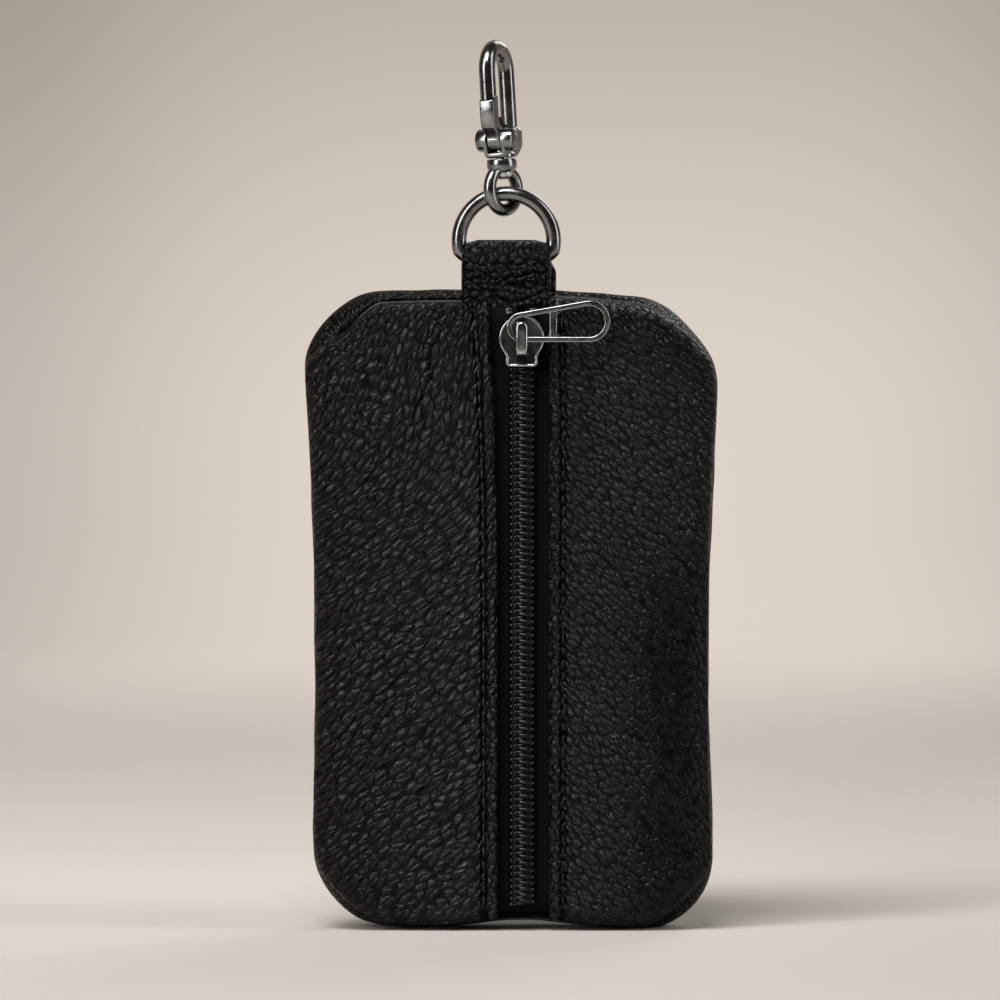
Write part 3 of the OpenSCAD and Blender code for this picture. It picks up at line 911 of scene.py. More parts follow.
@dataclass(frozen=True)
class CaseForm:
    """Outline, rolls and seams that the panels of the case share."""

    half_w: float = 39.0
    half_h: float = 60.25
    mid_z: float = 59.75
    corner_r: float = 14.0
    wall_bulge: float = 1.2
    seam_y: float = -6.0
    front_depth: float = 6.0
    back_depth: float = 12.0
    front_roll: float = 7.0
    back_roll: float = 12.0
    leather_t: float = 1.4
    lining_t: float = 0.4
    zip_x: float = 1.9
    half_slot: float = 5.1
    base_flat: float = 0.5
    arch_h: float = 1.7
    arch_reach: float = 13.0
    waist: float = 0.05
    waist_place: float = 0.42
    waist_reach: float = 0.44
    roll_power: float = 3.0
    roll_root: float = 2.2
    # How far the seam is drawn in at the corners: left low, left high, right low, right high
    tucks: tuple[float, float, float, float] = (1.3, 2.9, 2.2, 0.3)
    tuck_reach: float = 4.5
    # How far the front panels' top edges hang below the back's: left and right
    sinks: Point = (1.0, 0.0)
    slumps: tuple[Slump, ...] = (
        Slump(34.9, 115.9, 17.5, 9.6, 3.2),
        Slump(-34.9, 115.9, 12.0, 8.0, 1.1),
        Slump(-34.9, 3.6, 13.0, 12.0, 2.0),
        Slump(34.9, 3.6, 9.0, 8.0, -0.5),
    )

    def front_share(self, depth: float, roll: float) -> float:
        """Returns how far forward the front roll has come at a depth from the edge."""
        s = 1.0 - min(1.0, max(0.0, depth) / roll)
        return max(0.0, 1.0 - s**self.roll_power) ** (1.0 / self.roll_root)

    def back_share(self, depth: float, roll: float) -> float:
        """Returns how far back the round back border has come at a depth from the edge."""
        s = 1.0 - min(1.0, max(0.0, depth) / roll)
        return math.sqrt(max(0.0, 1.0 - s * s))

    def edge_x(self, z: float, gap: float) -> float:
        """Returns half the outline's width at a height, inset by gap.

        Args:
            z: Height.
            gap: Inset of the outline.

        Returns:
            Half the width.
        """
        r = self.corner_r - gap
        b = abs(z - self.mid_z) - (self.half_h - gap) + r
        return self.half_w - gap - r + math.sqrt(max(0.0, r * r - max(b, 0.0) ** 2))

    def border(self, x: float, z: float, gap: float) -> tuple[float, float, float, float]:
        """Returns the depth inside the inset outline, the way outwards and the corner's share.

        Args:
            x: Place across.
            z: Height.
            gap: Inset of the outline.

        Returns:
            Depth, the outward direction's x and z, and 0 to 1 for how far round a corner.
        """
        r = self.corner_r - gap
        a = abs(x) - (self.half_w - gap) + r
        b = abs(z - self.mid_z) - (self.half_h - gap) + r
        away = math.hypot(max(a, 0.0), max(b, 0.0))
        depth = r - away - min(max(a, b), 0.0)
        side = math.copysign(1.0, x)
        rise = math.copysign(1.0, z - self.mid_z)
        if a > 0.0 and b > 0.0:
            return depth, side * a / away, rise * b / away, math.sin(2 * math.atan2(b, a)) ** 2
        if a > b:
            return depth, side, 0.0, 0.0
        return depth, 0.0, rise, 0.0

    def shaped(self, x: float, y: float, z: float) -> Vector:
        """Narrows the waist, lifts the bottom edge at the zip and cuts the base flat.

        Args:
            x: Place across.
            y: Place from front to back.
            z: Height.

        Returns:
            The shaped point.
        """
        v = (z + self.base_flat) / (2 * self.half_h)
        s = (v - self.waist_place) / self.waist_reach
        narrow = self.waist * (1.0 - min(1.0, s * s)) * (x / self.half_w) ** 2
        fade = max(0.0, 1.0 - (z + self.base_flat) / self.arch_reach) ** 2
        lift = self.arch_h * bump(self.zip_x, self.arch_reach, x) * fade
        x, z = x * (1.0 - narrow), z + lift
        for slump in self.slumps:
            x, z = slump.moved(x, z)
        return Vector((x, y, max(0.0, z)))

    def tuck(self, x: float, z: float, corner: float) -> float:
        """Returns how far the nearest corner's tuck draws the seam in."""
        return self.tucks[(2 if x > 0 else 0) + (1 if z > self.mid_z else 0)] * corner**0.6

    def tucked(self, x: float, z: float, gap: float) -> Point:
        """Draws a point in where the seam is gathered round a corner.

        Args:
            x: Place across.
            z: Height.
            gap: Inset of the outline.

        Returns:
            The new place.
        """
        depth, nx, nz, corner = self.border(x, z, gap)
        near = math.exp(-max(0.0, depth) / self.tuck_reach)
        pull = self.tuck(x, z, corner) * near
        sink = self.sinks[1 if x > 0 else 0] * max(0.0, nz) * near * blend(2.0, 9.0, abs(x + 1.0))
        return x - nx * pull, z - nz * pull - sink

    def rows(self, gap: float, step: float) -> list[float]:
        """Returns heights from bottom to top, a step apart along the side and its corners.

        Args:
            gap: Inset of the outline.
            step: Distance between the heights.

        Returns:
            The heights.
        """
        r = self.corner_r - gap
        turns = max(4, round(r * math.pi / 2 / step))
        straight = 2 * (self.half_h - self.corner_r)
        spans = max(4, round(straight / step))
        low = self.mid_z - straight / 2
        angles = [math.pi / 2 * k / turns for k in range(turns + 1)]
        bottom = [low - r * math.cos(a) for a in angles]
        middle = [low + straight * k / spans for k in range(1, spans)]
        top = [low + straight + r * math.sin(a) for a in angles]
        return bottom + middle + top

    def front_table(self, step: float) -> list[Point]:
        """Returns depths and arc lengths along the front roll, from the edge inwards.

        Args:
            step: Length that the table's own steps are a share of.

        Returns:
            Pairs of depth and length.
        """
        table = [(0.0, 0.0)]
        y = 0.0
        depth = 0.0
        while depth < self.front_roll:
            depth = min(self.front_roll, depth + max(step * 0.0005, min(step, depth) * 0.05))
            new = self.front_depth * self.front_share(depth, self.front_roll)
            length = table[-1][1] + math.hypot(depth - table[-1][0], new - y)
            table.append((depth, length))
            y = new
        return table


class LookUp:
    """Straight-line look-up in a table of rising pairs."""

    def __init__(self, pairs: Sequence[Point]) -> None:
        """Keeps the pairs."""
        self.pairs = list(pairs)

    def __call__(self, value: float) -> float:
        """Returns the second number at a first number.

        Args:
            value: The first number.

        Returns:
            The second number.
        """
        low, high = 0, len(self.pairs) - 1
        if value <= self.pairs[0][0]:
            return self.pairs[0][1]
        if value >= self.pairs[-1][0]:
            return self.pairs[-1][1]
        while high - low > 1:
            mid = (low + high) // 2
            if self.pairs[mid][0] <= value:
                low = mid
            else:
                high = mid
        (a, p), (b, q) = self.pairs[low], self.pairs[high]
        return p + (q - p) * (value - a) / (b - a)


@dataclass(frozen=True)
class Hide:
    """What sets the leather of one front panel apart from the other's.

    Attributes:
        patch: Place and reach of the worn patch in the top corner.
        middle: Place about which the grain is turned.
        flow: Angle that the pebbles are drawn out along, its change, and between which heights.
        stretch: How closely the pebbles lie along that angle and across it.
        quiet: How much the grain fades in the quiet area.
        quiet_x: Where it fades across.
        quiet_z: Where it fades with the height.
        slack: Share of the slack folds.
    """

    patch: Triple
    middle: Point
    flow: tuple[float, float, float, float]
    stretch: Point
    quiet: float
    quiet_x: Point
    quiet_z: Point
    slack: float


HIDES = {
    Side.LEFT: Hide(
        patch=(-28.5, 104.5, 7.0),
        middle=(-18.0, 92.0),
        flow=(37.0, 30.0, 60.0, 112.0),
        stretch=(0.58, 1.24),
        quiet=0.35,
        quiet_x=(-12.0, -24.0),
        quiet_z=(70.0, 25.0),
        slack=1.0,
    ),
    Side.RIGHT: Hide(
        patch=(30.5, 107.0, 5.0),
        middle=(22.0, 70.0),
        flow=(-47.0, 5.0, 10.0, 60.0),
        stretch=(0.85, 1.42),
        quiet=0.8,
        quiet_x=(12.0, 30.0),
        quiet_z=(84.0, 60.0),
        slack=0.5,
    ),
}


@dataclass
class FrontShell:
    """One front panel, or its lining: a rolled sheet with a round edge at the zip."""

    form: CaseForm
    side: Side
    gap: float
    depth: float
    roll: float
    wall: float
    cut: float
    step: float
    dressed: bool
    fine: float = 0.23
    fine_reach: float = 5.0
    edge_steps: int = 6
    inner_cols: int = 8
    # Stitch groove and the folded edge beside it
    groove: float = 2.65
    groove_w: float = 0.55
    groove_d: float = 0.65
    fold_h: float = 0.35
    # The upright crease of the left panel: place, foot and depth
    crease_x: float = -15.6
    crease_low: float = 88.0
    crease_d: float = 0.6
    # How far the left slot edge comes in low down, and how far it goes back at the top
    close: float = 0.6
    slant: float = 1.5
    ripple: float = 0.15
    # Fine folds in the right panel's lower corner
    crimp: float = 0.16
    belly: float = 0.45
    waves: float = 0.5
    pucker: float = 0.24
    slack_h: float = 0.34
    upright_h: float = 0.2
    # How far the roll stands out past its own seam at the sides, below and above
    puffs: Triple = (1.25, 0.5, 0.15)

    def __post_init__(self) -> None:
        """Takes the panel's leather and lays out the rows and the columns."""
        self.hide = HIDES[self.side]
        self.table = self.form.front_table(self.step)
        self.length_at = LookUp(self.table)
        self.depth_at = LookUp([(length, depth) for depth, length in self.table])
        self.total = self.table[-1][1]
        self.heights = self.form.rows(self.gap, self.step)
        self.spots = self.columns()

    def columns(self) -> list[float]:
        """Returns shares of the way from the outer edge to the slot, by even arc length.

        Returns:
            The shares, from 0 to 1.
        """
        width = self.form.half_w - self.gap - abs(self.cut)
        flat = width - self.form.front_roll
        step = self.step
        lengths: list[float] = [0.0]
        while lengths[-1] < self.total + flat - 1e-6:
            left = self.total + flat - lengths[-1]
            move = self.fine if self.dressed and left <= self.fine_reach else step
            lengths.append(min(self.total + flat, lengths[-1] + move))
        spots = [
            self.depth_at(s) if s < self.total else s - self.total + self.form.front_roll
            for s in lengths
        ]
        return [s / spots[-1] for s in spots]

    def slot_x(self, z: float) -> float:
        """Returns where the edge beside the zip stands at a height.

        Args:
            z: Height.

        Returns:
            The place across.
        """
        if not self.dressed or self.side is Side.RIGHT:
            return self.cut
        rise = max(0.0, (z - 60.0) / 54.0)
        return self.cut + self.close - self.slant * min(1.15, rise**2.2)

    def front_y(self, depth: float) -> float:
        """Returns the plain outer surface at a depth from the edge."""
        return self.form.seam_y - self.depth * self.form.front_share(depth, self.roll)

    def relief(self, x: float, z: float, depth: float, corner: float) -> float:
        """Returns how far the leather stands proud of the plain surface.

        Args:
            x: Place across.
            z: Height.
            depth: Depth inside the outline.
            corner: Share of the way round a corner.

        Returns:
            A height in millimetres.
        """
        gap = abs(x - self.slot_x(z))
        seed = 3.7 * self.side.value
        broad = hills(x, z, (13.0, 17.0), seed)
        middle = hills(x, z, (5.5, 6.5), seed + 4.0)
        total = self.belly * (blend(2.0, 12.0, depth) * blend(4.5, 13.0, gap))
        total += self.waves * (broad * blend(0.5, 8.0, depth) + 0.42 * middle) * blend(3.6, 8.0, gap)
        total += self.gathers(x, z, depth, corner) * blend(4.0, 9.0, gap)
        total += self.slanting(x, z, seed) * blend(4.0, 8.0, gap)
        total += self.upright(x, z, seed) * blend(4.0, 7.0, gap) * blend(26.0, 10.0, gap)
        fold = self.fold_h * bump(1.5, 1.0, gap)
        total += fold - self.groove_d * bump(self.groove, self.groove_w, gap)
        if self.side is Side.LEFT:
            total -= self.crease(x, z, broad)
        total += self.fine_folds(x, z, broad, middle)
        return total * blend(0.0, 1.0, depth)

    def gathers(self, x: float, z: float, depth: float, corner: float) -> float:
        """Returns the gathers that run inwards from the seam, strongest at the corners.

        Args:
            x: Place across.
            z: Height.
            depth: Depth inside the outline.
            corner: Share of the way round a corner.

        Returns:
            A height in millimetres.
        """
        rise = z - self.form.mid_z
        along = math.atan2(rise, x) * 46.0 + 3.0 * hills(x, z, (9.0, 9.0), 8.0)
        near = max(blend(0.0, 0.6, corner), 0.4 * blend(40.0, 58.0, abs(rise)))
        ridges = math.sin(along * 2.1) * bump(2.6, 3.2, depth)
        return self.pucker * near * ridges

    def slanting(self, x: float, z: float, seed: float) -> float:
        """Returns the slack folds low down, which run slanting.

        Args:
            x: Place across.
            z: Height.
            seed: Number that sets one panel's folds apart from the other's.

        Returns:
            A height in millimetres.
        """
        lean = 0.74 * x - 0.67 * z
        run = 0.67 * x + 0.74 * z
        slack = hills(lean, run, (2.2, 9.0), seed + 9.0)
        return self.slack_h * self.hide.slack * slack * blend(108.0, 76.0, z)

    def upright(self, x: float, z: float, seed: float) -> float:
        """Returns the slack folds under the puller, which run upright."""
        return self.upright_h * hills(x, z, (2.4, 16.0), seed + 2.0) * blend(84.0, 106.0, z)

    def crease(self, x: float, z: float, broad: float) -> float:
        """Returns the depth of the upright crease."""
        line = self.crease_x + 2.0 * broad + 0.12 * (z - 100.0)
        return self.crease_d * bump(line, 0.8, x) * blend(self.crease_low, 99.0, z)

    def fine_folds(self, x: float, z: float, broad: float, middle: float) -> float:
        """Returns the left panel's ripples at the top, or the right one's folds in its lower corner.

        Args:
            x: Place across.
            z: Height.
            broad: The broad hills, which bend the folds.
            middle: The smaller hills, which bend them too.

        Returns:
            A height in millimetres.
        """
        if self.side is Side.LEFT:
            run = (z + 0.2 * x + 3.2 * broad + 1.2 * middle) / 2.8
            return self.ripple * math.sin(TURN * run) * self.smooth_patch(x, z, 1.5)
        run = (0.77 * z - 0.64 * x + 1.5 * middle) / 1.7
        return self.crimp * math.sin(TURN * run) * bump(28.0, 6.5, x) * bump(11.5, 5.5, z)

    def smooth_patch(self, x: float, z: float, size: float = 1.0) -> float:
        """Returns 1 in the middle of the top corner's worn patch, falling to 0 round it."""
        cx, cz, reach = self.hide.patch
        return bump(cx, reach * size, x) * bump(cz, reach * size, z)

    def surface(self, x: float, z: float) -> Vector:
        """Returns the dressed outer surface at a place of the flat outline.

        Args:
            x: Place across.
            z: Height.

        Returns:
            The point.
        """
        depth, nx, nz, corner = self.form.border(x, z, self.gap)
        y = self.front_y(depth)
        px, pz = self.form.tucked(x, z, self.gap)
        if not self.dressed:
            return self.form.shaped(px, y, pz)
        share = self.form.front_share(depth, self.roll)
        side, low, high = self.puffs
        puff = 4.0 * share * (1.0 - share) * (side * nx * nx + (high if nz > 0.0 else low) * nz * nz)
        px += nx * puff
        pz += nz * puff
        ahead = self.front_y(depth + 0.1)
        slope = (y - ahead) / 0.1
        size = math.hypot(1.0, slope)
        lift = self.relief(x, z, depth, corner)
        px += nx * lift * slope / size
        pz += nz * lift * slope / size
        return self.form.shaped(px, y - lift / size, pz)

    def grain_at(self, x: float, z: float) -> Vector:
        """Returns the flat place of the grain and its strength.

        Args:
            x: Place across.
            z: Height.

        Returns:
            The flat place, with the strength as third number.
        """
        depth, nx, nz, corner = self.form.border(x, z, self.gap)
        extra = 0.0
        if depth < self.form.front_roll:
            extra = self.total - self.length_at(max(0.0, depth)) - (self.form.front_roll - depth)
        u, v = x + nx * extra, z + nz * extra
        hide = self.hide
        start, change, low, high = hide.flow
        angle = math.radians(start + change * blend(low, high, v))
        du, dv = u - hide.middle[0], v - hide.middle[1]
        along = du * math.cos(angle) + dv * math.sin(angle)
        over = -du * math.sin(angle) + dv * math.cos(angle)
        gap = abs(x - self.slot_x(z))
        strength = 1.0 - 0.5 * bump(self.groove, 0.6, gap) - 0.6 * self.smooth_patch(x, z)
        strength *= 1.0 - 0.7 * corner * blend(5.5, 2.0, depth)
        strength *= 1.0 - hide.quiet * blend(*hide.quiet_x, x) * blend(*hide.quiet_z, z)
        long, wide = hide.stretch
        fade = 0.75 + 0.25 * blend(0.0, 3.0, depth)
        return Vector((along * long, over * wide, strength * fade))

    def shape(self) -> Shape:
        """Lays the outer skin, the round edge and the inner skin as one closed sheet.

        Returns:
            The shape.
        """
        side = self.side.value
        outer = len(self.spots) - 1
        total = outer + self.edge_steps + self.inner_cols

        def place(i: int, j: int) -> tuple[Vector, Vector]:
            """Places a point of the outer skin, the round edge or the inner skin.

            Args:
                i: Column of the grid.
                j: Row of the grid.

            Returns:
                The point and its grain.
            """
            z = self.heights[j]
            outline = side * self.form.edge_x(z, self.gap)
            slot = self.slot_x(z)
            depth_slot = self.form.border(slot, z, self.gap)[0]
            thick = min(self.wall, self.form.seam_y - self.front_y(depth_slot))
            end = slot + side * thick / 2
            if i <= outer:
                x = outline + (end - outline) * self.spots[i]
                return self.surface(x, z), self.grain_at(x, z)
            if i <= outer + self.edge_steps:
                turn = math.pi * (i - outer) / self.edge_steps
                front = self.surface(end, z)
                x = front.x - side * thick / 2 * math.sin(turn)
                y = front.y + thick / 2 * (1.0 - math.cos(turn))
                grain = self.grain_at(end, z)
                grain.x -= side * thick / 2 * turn
                grain.z = 0.8
                return Vector((x, y, front.z)), grain
            share = 1.0 - (i - outer - self.edge_steps) / self.inner_cols
            x = outline + (end - outline) * share
            depth = self.form.border(x, z, self.gap)[0]
            y = min(self.form.seam_y, self.front_y(depth) + self.wall)
            px, pz = self.form.tucked(x, z, self.gap)
            return self.form.shaped(px, y, pz), Vector((x, z, 0.3))

        return Shape.grid(total, len(self.heights) - 1, place, 0.004).outward()


@dataclass
class BackShell:
    """The back panel, or its lining: a tray whose side wall bulges past the front seam."""

    form: CaseForm
    gap: float
    wall: float
    step: float
    dressed: bool
    waves: float = 0.5

    def axis(self, half: float, roll: float) -> list[float]:
        """Returns places across from edge to edge, even along the round border.

        Args:
            half: Half the distance from edge to edge.
            roll: Width of the round border.

        Returns:
            The places, from low to high.
        """
        turns = max(3, round(roll * math.pi / 2 / self.step))
        edge = [half - roll + roll * math.sin(math.pi / 2 * k / turns) for k in range(turns + 1)]
        flat = half - roll
        spans = max(2, round(2 * flat / self.step))
        middle = [-flat + 2 * flat * k / spans for k in range(1, spans)]
        return [-e for e in reversed(edge)] + middle + edge

    def shape(self) -> Shape:
        """Lays the back face and the side walls as one grid and welds its corners.

        Returns:
            The shape.
        """
        form = self.form
        heights = form.rows(self.gap, self.step)
        places = self.axis(form.half_w - self.gap, form.back_roll - self.gap)
        half = form.half_w - self.gap
        shares = [p / half for p in places]
        walls = max(3, round(abs(form.seam_y) / self.step))
        cols, rows = len(shares) - 1, len(heights) - 1
        depth_all = form.back_depth - self.gap
        roll = form.back_roll - self.gap
        border_extra = roll * (math.pi / 2 - 1.0)

        def place(i: int, j: int) -> tuple[Vector, Vector]:
            """Places a point of the back face or of the side walls.

            Args:
                i: Column of the grid.
                j: Row of the grid.

            Returns:
                The point and its grain.
            """
            ci = min(max(i - walls, 0), cols)
            cj = min(max(j - walls, 0), rows)
            z = heights[cj]
            x = shares[ci] * form.edge_x(z, self.gap)
            out = max(walls - i, i - walls - cols, walls - j, j - walls - rows, 0)
            s = out / walls
            depth, nx, nz, corner = form.border(x, z, self.gap)
            if out == 0:
                y = depth_all * form.back_share(depth, roll)
                angle = math.acos(min(1.0, max(0.0, 1.0 - depth / roll))) if depth < roll else 0.0
                extra = roll * (math.pi / 2 - angle) - (roll - depth) if depth < roll else 0.0
            else:
                y = form.seam_y * s
                extra = border_extra + s * abs(form.seam_y)
            px, pz = x - nx * form.wall_bulge * s * s, z - nz * form.wall_bulge * s * s
            inward = form.tuck(x, z, corner) * s**4
            if self.dressed:
                lift = self.relief(x, z, depth, s, corner)
                inward -= lift if depth < roll * 0.6 else 0.0
                y += lift * blend(roll * 0.2, roll, depth)
            px -= nx * inward
            pz -= nz * inward
            rough = 0.25 + 0.65 * blend(2.0, 9.0, depth) if out == 0 else 0.25
            return form.shaped(px, y, pz), Vector((x + nx * extra + 31.0, z + nz * extra, rough))

        total_c, total_r = cols + 2 * walls, rows + 2 * walls

        def corner_square(i: float, j: float) -> bool:
            """Says whether a face lies in a corner of the grid, past both walls."""
            return not walls < i < total_c - walls and not walls < j < total_r - walls

        shape = Shape.grid(total_c, total_r, place, 0.004, corner_square).outward()
        shape.bm.normal_update()
        rear = max(shape.bm.faces, key=lambda f: f.calc_center_median().y)
        if rear.normal.y < 0.0:
            bmesh.ops.reverse_faces(shape.bm, faces=shape.bm.faces[:])
        return shape

    def relief(self, x: float, z: float, depth: float, wall: float, corner: float) -> float:
        """Returns how far the leather stands proud of the plain surface.

        Args:
            x: Place across.
            z: Height.
            depth: Depth inside the outline.
            wall: Share of the way down the side wall.
            corner: Share of the way round a corner.

        Returns:
            A height in millimetres.
        """
        broad = hills(x, z, (15.0, 18.0), 21.0 + wall)
        middle = hills(x, z, (6.0, 7.0), 25.0 + wall)
        total = self.waves * (broad * 0.8 + 0.35 * middle)
        return total * blend(1.0, 0.5, wall) * (1.0 - 0.6 * corner)


@dataclass
class Case:
    """Leather shell of the case with its seams, stitching and linings."""

    form: CaseForm = field(default_factory=CaseForm)
    step: float = 0.42
    back_step: float = 0.72
    lining_step: float = 1.6
    rest_gap: float = 0.2
    tape_reach: float = 11.3
    stitch_pitch: float = 2.36
    stitch_r: float = 0.21
    stitch_l: float = 0.82
    # Where the row of stitches starts, and its length
    stitch_run: Point = (4.2, 112.0)
    welt_r: float = 0.3

    def build(self) -> None:
        """Builds every soft piece of the case except the zip."""
        for shell in self.fronts(True):
            self.stitches(shell)
        self.back(True)
        self.welt()
        self.fronts(False)
        self.back(False)

    def fronts(self, dressed: bool) -> list[FrontShell]:
        """Builds both front panels, or their linings.

        Args:
            dressed: True for the leather, False for the linings.

        Returns:
            Their shells.
        """
        form = self.form
        inset, reach, wall = 0.0, form.half_slot, form.leather_t
        step, turns, name, node = self.step, 6, "front_{}_leather", "front_{}_panel"
        if not dressed:
            inset, reach, wall = self.inset, self.tape_reach, form.lining_t
            step, turns, name, node = self.lining_step, 2, "lining_front_{}", "front_{}_lining"
        finish, slot = (LEATHER, Slot.LEATHER) if dressed else (LINING, Slot.LINING)
        shells = []
        for side in Side:
            shell = FrontShell(
                form=form,
                side=side,
                gap=form.wall_bulge + inset,
                depth=form.front_depth - inset,
                roll=form.front_roll - inset,
                wall=wall,
                cut=form.zip_x + side.value * reach,
                step=step,
                dressed=dressed,
                edge_steps=turns,
            )
            stands_for = [node.format(side.word)]
            shell.shape().piece(name.format(side.word), finish, "case", slot, stands_for, smooth=60.0)
            shells.append(shell)
        return shells

    @property
    def inset(self) -> float:
        """Returns how far the linings lie inside the leather's outer face."""
        return self.form.leather_t + self.rest_gap

    def stitches(self, shell: FrontShell) -> None:
        """Sews the row of stitches beside the slot.

        Args:
            shell: The front panel that it is sewn in.
        """
        row = Shape()
        side = shell.side.value
        low, length = self.stitch_run
        for k in range(int(length / self.stitch_pitch)):
            mid = low + self.stitch_pitch * (k + 0.5)
            path = []
            for t in (-1.0, -0.62, 0.0, 0.62, 1.0):
                z = mid + t * self.stitch_l
                x = shell.slot_x(z) + side * shell.groove
                point = shell.surface(x, z)
                point.y += 0.32 * t * t - 0.04
                path.append(point)
            row.add(Shape.sweep(path, circle(self.stitch_r, 6), AXIS_X))
        row.piece(f"stitches_{shell.side.word}", THREAD, "case", Slot.LEATHER, smooth=70.0)

    def back(self, dressed: bool) -> None:
        """Builds the back panel with its side walls, or the lining of both.

        Args:
            dressed: True for the leather, False for the lining.
        """
        gap, wall, step = 0.0, self.form.leather_t, self.back_step
        names = ("back_leather", LEATHER, "case", Slot.LEATHER, ["back_panel"])
        if not dressed:
            gap, wall, step = self.inset, self.form.lining_t, self.lining_step
            names = ("lining_back", LINING, "case", Slot.LINING, ["back_lining"])
        made = BackShell(self.form, gap, wall, step, dressed).shape().piece(*names, smooth=60.0)
        wall_maker = made.modifiers.new("wall", "SOLIDIFY")
        wall_maker.thickness = wall * MM
        wall_maker.offset = -1.0
        wall_maker.use_even_offset = False

    def seam(self, out: float, y: float) -> list[Vector]:
        """Returns the line of the seam round the front.

        Args:
            out: How far outside the panels' edge it runs.
            y: Its place from front to back.

        Returns:
            Points of the closed line.
        """
        form = self.form
        heights = form.rows(form.wall_bulge, 0.8)
        gap = form.wall_bulge
        top = form.edge_x(heights[-1], gap)
        cross = [-top + 2 * top * k / 60 for k in range(1, 60)]
        line = [(-form.edge_x(z, gap), z) for z in heights]
        line += [(x, heights[-1]) for x in cross]
        line += [(form.edge_x(z, gap), z) for z in reversed(heights)]
        line += [(-x, heights[0]) for x in cross]
        points = []
        for x, z in line:
            _, nx, nz, _ = form.border(x, z, gap)
            px, pz = form.tucked(x, z, gap)
            points.append(form.shaped(px + nx * out, y, pz + nz * out))
        return points

    def welt(self) -> None:
        """Builds the thin turned edge of the front panels that shows in the seam, lighter in colour as
        a painted highlight.
        """
        line = resampled(self.seam(0.05, self.form.seam_y - 0.1), 0.8, closed=True)
        for point in line:
            point.z = max(point.z, self.welt_r)
            point.y += 0.12 * noise.noise(point / 5.0)
        shape = Shape.sweep(line, circle(self.welt_r, 8), AXIS_Y, closed=True)
        shape.piece("seam_edge", SEAM_EDGE_HIGHLIGHT, "case", Slot.LEATHER, smooth=70.0)


# The zip


